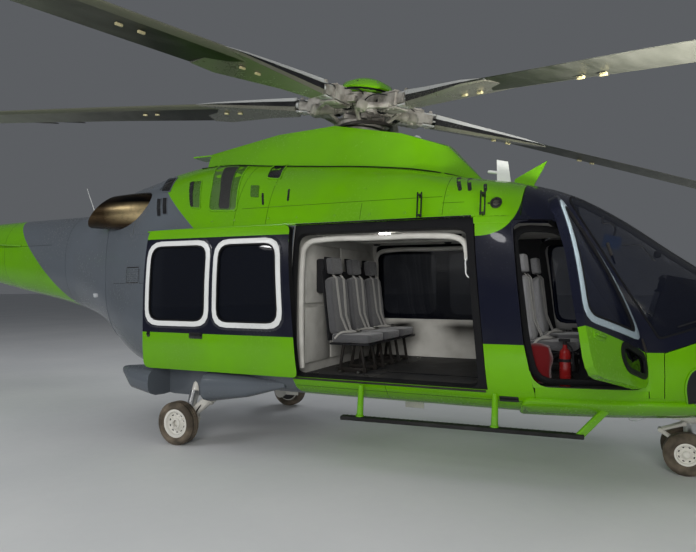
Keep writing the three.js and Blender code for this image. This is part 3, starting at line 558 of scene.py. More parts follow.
class Graph:
    """Adds nodes to a tree and joins them, so that a material reads like a formula."""

    def __init__(self, tree):
        self.tree = tree

    def put(self, socket, value):
        if isinstance(value, bpy.types.NodeSocket):
            self.tree.links.new(value, socket)
        elif socket.type == "RGBA" and len(value) == 3:
            socket.default_value = (*value, 1)
        else:
            socket.default_value = value

    def add(self, kind, values=None, **settings):
        node = self.tree.nodes.new(kind)
        for key, value in settings.items():
            setattr(node, key, value)
        for key, value in (values or {}).items():
            self.put(node.inputs[key], value)
        return node

    def math(self, operation, a, b=0, c=0):
        return self.add("ShaderNodeMath", {0: a, 1: b, 2: c}, operation=operation).outputs[0]

    def mix(self, share, a, b):
        return self.add("ShaderNodeMix", {0: share, 6: a, 7: b}, data_type="RGBA").outputs[2]

    def noise(self, vector, scale, detail=3):
        return self.add("ShaderNodeTexNoise",
                        {"Vector": vector, "Scale": scale, "Detail": detail}).outputs["Fac"]

    def span(self, value, low, high, to_low=0, to_high=1):
        """Carries a value from one range to another, held at its ends."""
        names = {"Value": value, "From Min": low, "From Max": high, "To Min": to_low, "To Max": to_high}
        return self.add("ShaderNodeMapRange", names).outputs[0]

    def group(self, name, values):
        node = self.add("ShaderNodeGroup")
        node.node_tree = bpy.data.node_groups[name]
        for key, value in values.items():
            self.put(node.inputs[key], value)
        return node.outputs

    def place(self):
        return self.add("ShaderNodeTexCoord").outputs["Object"]

    def stretched(self, scale):
        return self.add("ShaderNodeMapping", {"Vector": self.place(), "Scale": scale}).outputs[0]


def shader_group(name, inputs, outputs, build):
    """Makes a node group; inputs are (name, kind, default) and outputs (name, kind)."""
    tree = bpy.data.node_groups.new(name, "ShaderNodeTree")
    for label, kind, default in inputs:
        tree.interface.new_socket(name=label, in_out="INPUT", socket_type="NodeSocket"
                                  + kind).default_value = default
    for label, kind in outputs:
        tree.interface.new_socket(name=label, in_out="OUTPUT", socket_type="NodeSocket" + kind)
    graph = Graph(tree)
    entry = tree.nodes.new("NodeGroupInput").outputs
    results = build(graph, entry)
    leave = tree.nodes.new("NodeGroupOutput")
    for label, value in results.items():
        graph.put(leave.inputs[label], value)


def sprayed_group(graph, entry):
    """Gloss paint: a fine orange peel, a thin film of dust and slow drifts of tone."""
    place = graph.place()
    cloud = graph.noise(place, 1.7, 5)
    speck = graph.noise(place, 46, 2)
    dust = graph.math("MULTIPLY", graph.span(cloud, 0.42, 0.75), entry["Dust"])
    tone = graph.mix(graph.span(cloud, 0.3, 0.7, 0, 0.16), entry["Colour"], (0, 0, 0))
    rough = graph.math("ADD", graph.span(speck, 0.3, 0.7, 0.23, 0.27), graph.math("MULTIPLY", dust, 0.5))
    return {"Colour": graph.mix(dust, tone, entry["Dust Colour"]), "Roughness": rough,
            "Height": graph.noise(place, 240, 1)}


def worn_metal_group(graph, entry):
    """Machined metal: fine turning lines, stains that darken it and dull it."""
    lines = graph.noise(graph.stretched((40, 40, 400)), 1, 2)
    stain = graph.span(graph.noise(graph.place(), 9, 5), 0.4, 0.68)
    share = graph.math("MULTIPLY", stain, entry["Grime"])
    rough = graph.math("ADD", graph.span(lines, 0.2, 0.8, 0.26, 0.42), graph.math("MULTIPLY", share, 0.35))
    return {"Colour": graph.mix(share, entry["Colour"], entry["Grime Colour"]), "Roughness": rough,
            "Height": lines}


def grain_group(graph, entry):
    """Moulded plastic, rubber or leather: a pebbled grain and slightly worn tone."""
    cells = graph.add("ShaderNodeTexVoronoi", {"Vector": graph.place(), "Scale": entry["Scale"]},
                      feature="SMOOTH_F1").outputs["Distance"]
    cloud = graph.noise(graph.place(), 6, 4)
    tone = graph.mix(graph.math("MULTIPLY", graph.span(cloud, 0.4, 0.72), entry["Wear"]), entry["Colour"],
                     entry["Wear Colour"])
    return {"Colour": tone, "Roughness": graph.span(cloud, 0.3, 0.7, 0.5, 0.72), "Height": cells}


def weave_group(graph, entry):
    """Cloth: two crossed sets of threads, and a soft mottling."""
    across = graph.add("ShaderNodeTexWave", {"Vector": graph.place(), "Scale": entry["Scale"],
                                             "Distortion": 0.6},
                       bands_direction="Y").outputs["Fac"]
    upright = graph.add("ShaderNodeTexWave", {"Vector": graph.place(), "Scale": entry["Scale"],
                                              "Distortion": 0.6},
                        bands_direction="Z").outputs["Fac"]
    threads = graph.math("MAXIMUM", across, upright)
    mottle = graph.noise(graph.place(), 14, 4)
    shade = graph.math("MULTIPLY", graph.span(threads, 0, 1, 0.55, 0), graph.span(mottle, 0.2, 0.8, 0.6, 1))
    return {"Colour": graph.mix(shade, entry["Colour"], (0, 0, 0)), "Height": threads}


def seam_group(graph, entry):
    """A straight line in the side view: 1 on the line, 0 away from it, between two ends."""
    gap = graph.math("ABSOLUTE", graph.math("SUBTRACT", entry["Across"], entry["Place"]))
    line = graph.span(gap, 0.0016, 0.0034, 1, 0)
    after = graph.math("GREATER_THAN", entry["Along"], entry["Start"])
    before = graph.math("LESS_THAN", entry["Along"], entry["End"])
    return {"Line": graph.math("MULTIPLY", line, graph.math("MULTIPLY", after, before))}


def make_groups():
    colour, number = "Color", "Float"
    finish = [("Colour", colour), ("Roughness", number), ("Height", number)]
    grey, brown = (0.3, 0.3, 0.28, 1), (0.05, 0.04, 0.03, 1)
    shader_group("sprayed paint", [("Colour", colour, grey), ("Dust Colour", colour, grey),
                                   ("Dust", number, 0.1)],
                 finish, sprayed_group)
    shader_group("worn metal", [("Colour", colour, grey), ("Grime Colour", colour, brown),
                                ("Grime", number, 0.5)],
                 finish, worn_metal_group)
    shader_group("moulded grain", [("Colour", colour, grey), ("Wear Colour", colour, grey),
                                   ("Wear", number, 0.3),
                                   ("Scale", number, 400)], finish, grain_group)
    shader_group("cloth weave", [("Colour", colour, grey), ("Scale", number, 160)],
                 [("Colour", colour), ("Height", number)], weave_group)
    shader_group("panel seam", [("Across", number, 0), ("Along", number, 0), ("Place", number, 0),
                                ("Start", number, -99), ("End", number, 99)], [("Line", number)], seam_group)


def new_material(name):
    """A material with its default nodes and their one surface shader, and the graph to build on."""
    material = bpy.data.materials.new(name)
    material.use_nodes = True
    return Graph(material.node_tree), material.node_tree.nodes["Principled BSDF"].inputs


def bump(graph, shader, height, strength, distance):
    """Feeds a height into the surface's normal."""
    made = graph.add("ShaderNodeBump", {"Strength": strength, "Distance": distance, "Height": height})
    graph.put(shader["Normal"], made.outputs[0])


def gloss(shader, coat=0.6, coat_rough=0.06):
    shader["Coat Weight"].default_value = coat
    shader["Coat Roughness"].default_value = coat_rough


def paint_material(name, colour, dust=0.12, coat=0.6):
    """A plain sprayed finish."""
    graph, shader = new_material(name)
    made = graph.group("sprayed paint", {"Colour": colour, "Dust": dust})
    graph.put(shader["Base Color"], made["Colour"])
    graph.put(shader["Roughness"], made["Roughness"])
    bump(graph, shader, made["Height"], 0.04, 0.0006)
    gloss(shader, coat)


def metal_material(name, colour, grime=0.5, metallic=1, bump_strength=0.12):
    """A machined or cast metal."""
    graph, shader = new_material(name)
    made = graph.group("worn metal", {"Colour": colour, "Grime": grime})
    graph.put(shader["Base Color"], made["Colour"])
    graph.put(shader["Roughness"], made["Roughness"])
    shader["Metallic"].default_value = metallic
    bump(graph, shader, made["Height"], bump_strength, 0.0006)


def grain_material(name, colour, wear_colour, wear=0.3, scale=400, strength=0.2, coat=0):
    """A moulded plastic, rubber or leather."""
    graph, shader = new_material(name)
    made = graph.group("moulded grain", {"Colour": colour, "Wear Colour": wear_colour, "Wear": wear,
                                         "Scale": scale})
    graph.put(shader["Base Color"], made["Colour"])
    graph.put(shader["Roughness"], made["Roughness"])
    bump(graph, shader, made["Height"], strength, 0.0012)
    shader["Specular IOR Level"].default_value = 0.3
    gloss(shader, coat)


def cloth_material(name, colour, scale=160):
    """A woven cloth with a soft sheen."""
    graph, shader = new_material(name)
    made = graph.group("cloth weave", {"Colour": colour, "Scale": scale})
    graph.put(shader["Base Color"], made["Colour"])
    shader["Roughness"].default_value = 0.85
    shader["Sheen Weight"].default_value = 0.35
    bump(graph, shader, made["Height"], 0.35, 0.0012)


def glass_material(name, colour, alpha, rough=0.03):
    """Tinted glazing, with faint smears in its gloss."""
    graph, shader = new_material(name)
    smear = graph.noise(graph.place(), 5, 5)
    graph.put(shader["Roughness"], graph.span(smear, 0.35, 0.75, rough, rough + 0.035))
    graph.put(shader["Alpha"], graph.span(smear, 0.3, 0.7, alpha, alpha + 0.06))
    shader["Base Color"].default_value = (*colour, 1)
    shader["IOR"].default_value = 1.45


def lamp_material(name, colour, strength):
    graph, shader = new_material(name)
    glow = graph.span(graph.noise(graph.place(), 60, 1), 0.2, 0.8, 0.75, 1)
    graph.put(shader["Emission Color"], graph.mix(glow, (0, 0, 0), colour))
    shader["Emission Strength"].default_value = strength
    graph.put(shader["Base Color"], graph.mix(glow, (0.4, 0.4, 0.4), colour))
    shader["Roughness"].default_value = 0.2


# Height of the band of painted sheen along the exhausts
EXHAUST_SHEEN_HEIGHT = 2.42

# The hull's paint: three colours laid out in the side view, drawn on the closed doors: green, slate, and
# navy, which is the slate in painted shade with a slight blue tint

# Columns: across axis, place, start, end along the other axis
PANEL_SEAMS = (
    ("x", -0.64, 2.16, 2.66), ("x", -1.02, 2.16, 2.9), ("x", 0.36, 2.16, 2.34), ("x", 1.12, 2.16, 2.62),
    ("z", 2.36, -0.95, 1.1), ("z", 2.3, 1.107, 1.295), ("x", -1.86, 0.9, 2.15), ("z", 1.62, -2.85, -0.35),
    ("x", -3.9, 1.3, 2.6), ("x", -5.2, 1.5, 2.6), ("x", -6.35, 1.7, 2.6), ("z", 2.12, -6.9, -4.2),
    ("z", 0.66, -0.28, 2.6), ("x", 0.62, 0.5, 0.745), ("x", 1.88, 0.5, 0.745), ("x", 3.3, 0.6, 1.3),
)
GREY_EDGE = ((-1.565, 2.215), (-2.084, 2.625), (-2.167, 2.816))
BOOM_EDGE = ((-5.07, 2.49), (-3.9, 1.36))
LOBE = (1.4, 2.4, 0.36, 0.4)


def right_of(graph, u, v, start, end):
    """1 on the nose side of the line from start up to end."""
    cross = graph.math("SUBTRACT", graph.math("MULTIPLY", graph.math("SUBTRACT", u, start[0]),
                                              end[1] - start[1]),
                       graph.math("MULTIPLY", graph.math("SUBTRACT", v, start[1]), end[0] - start[0]))
    return graph.math("GREATER_THAN", cross, 0)


def hull_paint():
    graph, shader = new_material("hull paint")
    shades = colours()
    view = graph.add("ShaderNodeUVMap", uv_map="side_view").outputs[0]
    split = graph.add("ShaderNodeSeparateXYZ", {0: view}).outputs
    u, v = split[0], split[1]
    cabin = graph.math("GREATER_THAN", u, CABIN_REAR)
    slope = graph.math("ADD", graph.math("MULTIPLY", graph.math("SUBTRACT", u, 2.79), 0.363), 1.09)
    belt = graph.math("MAXIMUM", slope, graph.span(u, 1.9, 2.6, sizes().belt, 1.09))
    under_belt = graph.math("LESS_THAN", v, belt)
    strip = graph.math("MULTIPLY", graph.math("GREATER_THAN", v, 2.07), graph.math("LESS_THAN", u, 1.395))
    x0, z0, reach_x, reach_z = LOBE
    far_u = graph.math("POWER",
                       graph.math("MAXIMUM", graph.math("DIVIDE", graph.math("SUBTRACT", u, x0), reach_x),
                                           0), 2.5)
    far_v = graph.math("POWER",
                       graph.math("MAXIMUM", graph.math("DIVIDE", graph.math("SUBTRACT", z0, v), reach_z),
                                           0), 2.5)
    lobe = graph.math("MULTIPLY", graph.math("LESS_THAN", graph.math("ADD", far_u, far_v), 1),
                graph.math("MULTIPLY", graph.math("GREATER_THAN", v, 1.9),
                           graph.math("GREATER_THAN", u, 1.395)))
    green_front = graph.math("MAXIMUM", under_belt, graph.math("MAXIMUM", strip, lobe))
    low_edge = right_of(graph, u, v, GREY_EDGE[0], GREY_EDGE[1])
    high_edge = right_of(graph, u, v, GREY_EDGE[1], GREY_EDGE[2])
    above = graph.math("GREATER_THAN", v, DECK + 0.002)
    cowl = graph.math("MULTIPLY", above, graph.math("MULTIPLY", low_edge, high_edge))
    boom = graph.math("SUBTRACT", 1, right_of(graph, u, v, BOOM_EDGE[1], BOOM_EDGE[0]))
    green_rear = graph.math("MAXIMUM", cowl, boom)
    # Painted shade: the cabin and cockpit take the navy, a darker copy of the slate, and the rear takes the
    # slate
    dark = graph.mix(cabin, shades.slate, shades.navy_in_shade)
    green = graph.mix(cabin, green_rear, green_front)
    share = graph.add("ShaderNodeRGBToBW", {0: green}).outputs[0]
    seams = None
    for axis, place, start, end in PANEL_SEAMS:
        across, along = (u, v) if axis == "x" else (v, u)
        line = graph.group("panel seam", {"Across": across, "Along": along, "Place": place, "Start": start,
                                          "End": end})["Line"]
        seams = line if seams is None else graph.math("MAXIMUM", seams, line)
    colour = graph.mix(share, dark, shades.green)
    made = graph.group("sprayed paint", {"Colour": colour, "Dust": 0.04})
    graph.put(shader["Base Color"], graph.mix(graph.math("MULTIPLY", seams, 0.75), made["Colour"], (0, 0, 0)))
    graph.put(shader["Roughness"], made["Roughness"])
    height = graph.math("SUBTRACT", graph.math("MULTIPLY", made["Height"], 0.006), seams)
    bump(graph, shader, height, 0.35, 0.002)
    shader["Specular IOR Level"].default_value = 0.15
    gloss(shader, 0.32, 0.05)


def blade_paint():
    """Dark olive, drawn paler underneath outwards as painted light for the lit undersides, with a pale strip
    on its nose and a black panel at the root.
    """
    graph, shader = new_material("blade paint")
    shades = colours()
    split = graph.add("ShaderNodeSeparateXYZ",
                      {0: graph.add("ShaderNodeUVMap", uv_map="blade_view").outputs[0]})
    along, across = split.outputs[0], split.outputs[1]
    under = graph.math("GREATER_THAN", across, 0)
    share = graph.math("ABSOLUTE", across)
    streak = graph.noise(graph.stretched((1.2, 1.2, 30)), 2, 4)
    # Painted light: the undersides, and faintly the tops, turn cream outwards
    pale = graph.math("MULTIPLY", graph.span(graph.math("ADD", along, graph.math("MULTIPLY", streak, 1.4)), 3,
                                             6.6),
                      graph.span(under, 0, 1, 0.12, 1))
    base = graph.mix(pale, shades.blade_dark, shades.blade_lit_underside)
    strip = graph.math("LESS_THAN", share, graph.span(along, 1, 1.9, 0.34, 0.16))
    rear = graph.math("MULTIPLY", graph.math("GREATER_THAN", share, 0.78),
                      graph.math("LESS_THAN", along, 1.62))
    light = graph.math("MAXIMUM", strip, rear)
    edge = graph.mix(graph.span(along, 1.15, 1.6), (0.44, 0.45, 0.44), (0.15, 0.155, 0.11))
    base = graph.mix(light, base, edge)
    root = graph.math("MULTIPLY", graph.math("LESS_THAN", along, 1.62), graph.math("SUBTRACT", 1, light))
    base = graph.mix(root, base, (0.006, 0.006, 0.006))
    made = graph.group("sprayed paint", {"Colour": base, "Dust": 0.05})
    graph.put(shader["Base Color"], made["Colour"])
    graph.put(shader["Roughness"], graph.math("ADD", made["Roughness"], 0.12))
    bump(graph, shader, made["Height"], 0.05, 0.0006)
    shader["Specular IOR Level"].default_value = 0.12
    gloss(shader, 0)


def exhaust_metal():
    """Heat-stained steel: dark brown and near black in slow drifts; a warm band of painted sheen at mid
    height, brightening to a painted gold highlight near the root, with near black above and below it and
    towards the mouth.
    """
    graph, shader = new_material("heated steel with painted sheen")
    split = graph.add("ShaderNodeSeparateXYZ", {0: graph.place()}).outputs
    drift = graph.noise(graph.stretched((1.6, 1.6, 5)), 1.2, 2)
    # Painted sheen: a warm band at mid height, turning to a painted gold highlight near the root
    sheen_band = graph.span(graph.math("ABSOLUTE", graph.math("SUBTRACT", split[2], EXHAUST_SHEEN_HEIGHT)), 0.02, 0.13, 1,
                       0)
    root = graph.span(split[0], -1.25, -0.88)
    wood = graph.mix(graph.span(drift, 0.4, 0.62), (0.006, 0.005, 0.005), (0.05, 0.03, 0.015))
    warm_sheen = graph.mix(graph.math("MULTIPLY", sheen_band, 0.75), wood, (0.1, 0.064, 0.03))
    gold_highlight = graph.mix(graph.math("MULTIPLY", sheen_band, root), warm_sheen, (0.8, 0.62, 0.33))
    graph.put(shader["Base Color"], graph.mix(graph.span(graph.noise(graph.place(), 24), 0.5, 0.8, 0, 0.4),
                                              gold_highlight,
                                              (0.01, 0.009, 0.01)))
    graph.put(shader["Roughness"], graph.span(drift, 0.3, 0.7, 0.36, 0.24))
    shader["Metallic"].default_value = 0.9
    bump(graph, shader, graph.noise(graph.place(), 60), 0.08, 0.0008)


def mesh_material():
    """A fine woven wire screen, near black between its wires: painted shade of the opening behind it."""
    graph, shader = new_material("wire screen")
    turned = graph.add("ShaderNodeMapping", {"Vector": graph.place(), "Rotation": (0, math.radians(45), 0)})
    wires = [graph.add("ShaderNodeTexWave", {"Vector": turned.outputs[0], "Scale": 32},
                       bands_direction=axis).outputs["Fac"] for axis in "XZ"]
    wire = graph.span(graph.math("MAXIMUM", *wires), 0.72, 0.9)
    # Painted shade: the gaps between the wires are near black, for the opening behind
    graph.put(shader["Base Color"], graph.mix(wire, (0.004, 0.004, 0.005), (0.11, 0.11, 0.105)))
    graph.put(shader["Metallic"], graph.math("MULTIPLY", wire, 0.6))
    shader["Roughness"].default_value = 0.55
    bump(graph, shader, wire, 0.5, 0.002)


def make_finishes():
    shades = colours()
    make_groups()
    hull_paint()
    blade_paint()
    exhaust_metal()
    mesh_material()
    for name, colour, dust, coat in (
        # The navy paint is the slate in painted shade, with a slight blue tint
        ("green paint", shades.green, 0.04, 0.3), ("navy_in_shade paint", shades.navy_in_shade, 0.05, 0.3),
        ("slate paint", shades.slate, 0.06, 0.3), ("white enamel", (0.72, 0.7, 0.64), 0.22, 0.4),
        ("white trim", (0.72, 0.73, 0.72), 0.06, 0.2), ("pad cream", (0.62, 0.55, 0.3), 0.2, 0),
        ("window trim", shades.window_trim, 0.06, 0.2), ("blade root grey", (0.42, 0.43, 0.42), 0.2, 0.2),
        # The lower root straps take a darker copy of the strap grey: painted shade
        ("blade olive", (0.03, 0.035, 0.022), 0.1, 0), ("blade root in shade", (0.13, 0.128, 0.1), 0.2, 0.1),
        # The darker green is painted shade: the green as it looks in recesses
        ("red enamel", (0.3, 0.008, 0.008), 0.08, 0.7), ("green in painted shade", (0.045, 0.13, 0.004), 0.2, 0.3),
        ("black enamel", (0.008, 0.008, 0.009), 0.1, 0.2),
    ):
        paint_material(name, colour, dust, coat)
    for name, colour, grime, metallic in (
        ("hub metal", shades.hub, 0.75, 0.35), ("head alloy", (0.3, 0.29, 0.245), 0.5, 0.25),
        ("bare steel", (0.45, 0.44, 0.41), 0.5, 1),
        ("polished steel", (0.75, 0.75, 0.74), 0.08, 1), ("dark metal", (0.055, 0.052, 0.05), 0.6, 0.7),
        ("brass fitting", (0.5, 0.33, 0.1), 0.4, 1),
    ):
        metal_material(name, colour, grime, metallic)
    for name, colour, wear_colour, wear, scale, strength in (
        ("black plastic", (0.012, 0.012, 0.014), (0.03, 0.03, 0.03), 0.4, 300, 0.1),
        ("seal rubber", (0.005, 0.005, 0.006), (0.014, 0.014, 0.014), 0.4, 300, 0.1),
        ("tyre rubber", (0.06, 0.049, 0.037), (0.26, 0.21, 0.155), 0.8, 120, 0.25),
        ("cabin lining", shades.lining, (0.28, 0.27, 0.24), 0.4, 260, 0.1),
        ("door lining", (0.22, 0.22, 0.215), (0.13, 0.13, 0.13), 0.4, 200, 0.06),
        ("floor mat", (0.03, 0.031, 0.033), (0.09, 0.085, 0.075), 0.6, 60, 0.5),
        ("grip tread", (0.012, 0.012, 0.012), (0.05, 0.05, 0.048), 0.4, 700, 0.9),
        ("screen cover", (0.1, 0.1, 0.105), (0.05, 0.05, 0.05), 0.4, 500, 0.3),
    ):
        grain_material(name, colour, wear_colour, wear, scale, strength)
    cloth_material("seat cloth", shades.seat)
    cloth_material("pale cloth", (0.33, 0.33, 0.34), 120)
    cloth_material("webbing", (0.42, 0.41, 0.38), 420)
    cloth_material("red cloth", (0.15, 0.006, 0.008), 260)
    glass_material("tinted glass", (0.006, 0.008, 0.018), 0.34, 0.012)
    glass_material("door glass", (0.006, 0.008, 0.02), 0.58, 0.012)
    glass_material("cabin glass", (0.005, 0.006, 0.01), 0.74, 0.012)
    glass_material("dark glass", (0.003, 0.003, 0.004), 0.93, 0.02)
    glass_material("visor glass", (0.05, 0.09, 0.2), 0.55, 0.02)
    glass_material("lamp glass", (0.85, 0.87, 0.9), 0.45)
    glass_material("red glass", (0.55, 0.01, 0.008), 0.85)
    glass_material("green glass", (0.01, 0.4, 0.05), 0.85)
    lamp_material("ceiling light", (1, 0.98, 0.94), 16)
    glass_material("display glass", (0.006, 0.008, 0.012), 0.94)


# Smooth, painted skins that stand for the faceted solids

FACET_DEPTH = 0.03
SKIN_EDGE = 0.16
FLOOR_LOOKS = "floor mat"

# Columns: node, finish inside, finish of its cut edges, slot
SHELLS = (
    ("belly", "door lining", "seal rubber", "green_paint"),
    ("nose", "door lining", "seal rubber", "green_paint"),
    ("roof", "cabin lining", "seal rubber", "slate_paint"),
    ("windscreen_frame", "black plastic", "seal rubber", "slate_paint"),
    ("aft_fuselage", "door lining", "seal rubber", "slate_paint"),
    ("engine_cowling", "dark metal", "green paint", "green_paint"),
    ("tail_boom", "dark metal", "slate paint", "green_paint"),
    ("baggage_door", "door lining", "seal rubber", "slate_paint"),
    ("pillar_right", "black plastic", "seal rubber", "slate_paint"),
    ("pillar_left", "black plastic", "seal rubber", "slate_paint"),
    ("cabin_door_right", "cabin lining", "seal rubber", "green_paint"),
    ("cabin_door_left", "cabin lining", "seal rubber", "green_paint"),
    ("cockpit_door_right", "door lining", "hull paint", "green_paint"),
    ("cockpit_door_left", "door lining", "hull paint", "green_paint"),
)
# Columns: node, glass, how deep its outer face lies under the hull
PANES = (
    ("windscreen_right", "tinted glass", 0),
    ("windscreen_left", "tinted glass", 0),
    ("cabin_glass_right", "cabin glass", 0.0124),
    ("cabin_glass_left", "cabin glass", 0.0124),
    ("cockpit_glass_right", "door glass", 0.0124),
    ("cockpit_glass_left", "door glass", 0.0124),
)

LOW_WINDOW_TOP = 1.13
# A point inside the nose, behind the part whose facets stray from the hull, and where its blunt tip begins
NOSE_CAP = Vector((3, 0, 1.02))
NOSE_TIP = 3.42


def lies_on_hull(face, depth):
    """Whether a facet belongs to the hull's outer surface, or to one at a depth under it."""
    middle = face.calc_center_median()
    out, distance = hull_slope(middle)
    return middle.x < NOSE_TIP and out.dot(face.normal) > 0.9 and abs(distance + depth) < FACET_DEPTH


def refine_skin(bm, depth):
    """Splits the long facets of the outer surface and brings their corners onto the true hull."""
    for _ in range(3):
        outer = [face for face in bm.faces if lies_on_hull(face, depth)]
        long_edges = {edge for face in outer for edge in face.edges if edge.calc_length() > SKIN_EDGE}
        if long_edges:
            bmesh.ops.subdivide_edges(bm, edges=list(long_edges), cuts=1)
            bmesh.ops.triangulate(bm, faces=[face for face in bm.faces if len(face.verts) > 3])
    bm.normal_update()
    outer = [face for face in bm.faces if lies_on_hull(face, depth)]
    for vert in {vert for face in outer for vert in face.verts}:
        out, distance = hull_slope(vert.co)
        if abs(distance + depth) < FACET_DEPTH:
            vert.co -= out * (distance + depth)
    bm.normal_update()
    return set(outer)


def corner_normals(bm, outer, limit=38):
    """One normal for each corner of each face: the hull's own on its surface, softened elsewhere."""
    near = math.cos(math.radians(limit))
    slopes = {}
    normals = []
    for face in bm.faces:
        middle, depth = hull_slope(face.calc_center_median()) if outer is not None else (None, 1)
        inner = (outer is not None and face not in outer and -0.09 < depth < -0.005
                 and middle.dot(face.normal) < -0.88)
        for vert in face.verts:
            if outer is not None and (face in outer or inner):
                if vert not in slopes:
                    slopes[vert] = hull_slope(vert.co)[0]
                normals.append(-slopes[vert] if inner else slopes[vert].copy())
            else:
                soft = Vector((0, 0, 0))
                for other in vert.link_faces:
                    if other.normal.dot(face.normal) > near:
                        soft += other.normal * other.calc_area()
                normals.append(soft.normalized() if soft.length > 1e-12 else face.normal.copy())
    return normals


def finished_skin(bm, node, normals, turn, slot, names):
    """Turns a dressed bmesh into the piece that stands for a CAD node."""
    mesh = bpy.data.meshes.new(node + "_skin")
    for face in bm.faces:
        face.smooth = True
    bm.to_mesh(mesh)
    bm.free()
    mesh.normals_split_custom_set([(turn @ normal)[:] for normal in normals])
    piece = linked(mesh, node + "_skin", names, NODES[node]["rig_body"], slot)
    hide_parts(node)


def merged_copy(node, move):
    """The solid of a CAD node as a bmesh of joined facets, brought to where it is drawn."""
    bm = bmesh.new()
    bm.from_mesh(NODES[node].data)
    bmesh.ops.remove_doubles(bm, verts=bm.verts, dist=1e-5)
    bm.transform(move)
    bm.normal_update()
    return bm


def shell_finish(node, p, normal, inner, edge):
    """The finish of a facet that isn't on the hull's outer surface."""
    out, distance = hull_slope(p)
    if node == "engine_cowling" and abs(p.y) < 0.0125 and p.z > 2.45 and p.x > 1.3:
        return "white trim" if p.x < 1.55 else "green paint"
    if node == "belly" and normal.z > 0.9 and p.z > 0.7:
        return FLOOR_LOOKS
    if node == "roof" and normal.z < -0.9 and p.z < 2.12:
        return "cabin lining"
    if node == "aft_fuselage":
        if p.x > CABIN_REAR - 0.004 and normal.x > 0.9:
            return "cabin lining"
        if distance > -0.01:
            return "hull paint"
        return "slate paint" if p.z < 0.8 else inner
    on_cap = node == "nose" and p.x > NOSE_CAP.x and normal.dot(p - NOSE_CAP) > 0
    if on_cap or out.dot(normal) > 0.6 and distance > -0.12:
        return "hull paint"
    if node == "nose" and p.z < 0.8:
        return "slate paint"
    if distance < -0.03 and out.dot(normal) < -0.8:
        return inner
    return edge


def dress_shell(node, inner, edge, slot):
    move = (Matrix.Translation(MAST) @ door_move(node)).inverted()
    bm = merged_copy(node, move)
    outer = refine_skin(bm, 0)
    names = ["hull paint"]
    view = bm.loops.layers.uv.new("side_view")
    for face in bm.faces:
        name = "hull paint"
        if face not in outer:
            name = shell_finish(node, face.calc_center_median(), face.normal, inner, edge)
        if name not in names:
            names.append(name)
        face.material_index = names.index(name)
        for loop in face.loops:
            loop[view].uv = (loop.vert.co.x, loop.vert.co.z)
    normals = corner_normals(bm, outer)
    back = move.inverted()
    bm.transform(back)
    finished_skin(bm, node, normals, back.to_3x3(), slot, names)


def dress_pane(node, glass, depth):
    door = node.replace("cabin_glass", "cabin_door").replace("cockpit_glass", "cockpit_door")
    move = (Matrix.Translation(MAST) @ door_move(door)).inverted()
    bm = merged_copy(node, move)
    outer = refine_skin(bm, depth)
    looks = [glass]
    if node.startswith("cockpit"):
        looks.append("dark glass")
        for face in bm.faces:
            face.material_index = int(face.calc_center_median().z < LOW_WINDOW_TOP)
    normals = corner_normals(bm, outer)
    back = move.inverted()
    bm.transform(back)
    finished_skin(bm, node, normals, back.to_3x3(), "clear_glass", looks)


# Columns: node, finish, slot
SOFTENED = (
    ("tail_fin", "green paint", "green_paint"),
    ("tailplane_right", "green paint", "green_paint"),
    ("tailplane_left", "green paint", "green_paint"),
    ("main_leg_right", "white enamel", "white_paint"),
    ("main_leg_left", "white enamel", "white_paint"),
    ("nose_leg", "white enamel", "white_paint"),
    ("nose_fork", "white enamel", "white_paint"),
    ("swashplate", "hub metal", "hub_metal"),
    ("tail_rotor", "slate paint", "blade_paint"),
)
FAIRING_TOP_EDGE = 40
CAP_BASE = 0.136
CAP_FIT = (Matrix.Translation((0, 0, CAP_BASE)) @ Matrix.Diagonal((0.86, 0.86, 0.94, 1))
           @ Matrix.Translation((0, 0, -CAP_BASE)))


def dress_softened(node, finish, slot, limit=38):
    bm = merged_copy(node, Matrix.Identity(4))
    normals = corner_normals(bm, None, limit)
    finished_skin(bm, node, normals, Matrix.Identity(3), slot, [finish])


def dress_blade(number):
    """A blade with its own map: radius along it, and the share of its chord, negative on top."""
    node = f"rotor_blade_{number + 1}"
    turn = FIRST_BLADE + 2 * math.pi / BLADE_COUNT * number
    move = (Matrix.Translation(MAST) @ rotor_move(turn)).inverted()
    bm = merged_copy(node, move)
    reach = {}
    for vert in bm.verts:
        key = round(vert.co.x, 3)
        low, high = reach.get(key, (9, -9))
        reach[key] = (min(low, vert.co.y), max(high, vert.co.y))
    view = bm.loops.layers.uv.new("blade_view")
    for face in bm.faces:
        under = face.normal.z < 0
        for loop in face.loops:
            low, high = reach[round(loop.vert.co.x, 3)]
            share = (high - loop.vert.co.y) / max(high - low, 1e-4)
            loop[view].uv = (loop.vert.co.x, 0.01 + share if under else -0.01 - share)
    normals = corner_normals(bm, None, 50)
    back = move.inverted()
    bm.transform(back)
    finished_skin(bm, node, normals, back.to_3x3(), "blade_paint", ["blade paint"])


def dress_cap():
    """The dome over the rotor head, drawn in to the width that the real one has."""
    move = (Matrix.Translation(MAST) @ rotor_move()).inverted()
    bm = merged_copy("rotor_cap", move)
    bm.transform(CAP_FIT)
    bm.normal_update()
    normals = corner_normals(bm, None, 60)
    back = move.inverted()
    bm.transform(back)
    finished_skin(bm, "rotor_cap", normals, back.to_3x3(), "green_paint", ["green paint"])


# Engine cowling: intakes, slots, vents, rails and latches, alike on both sides

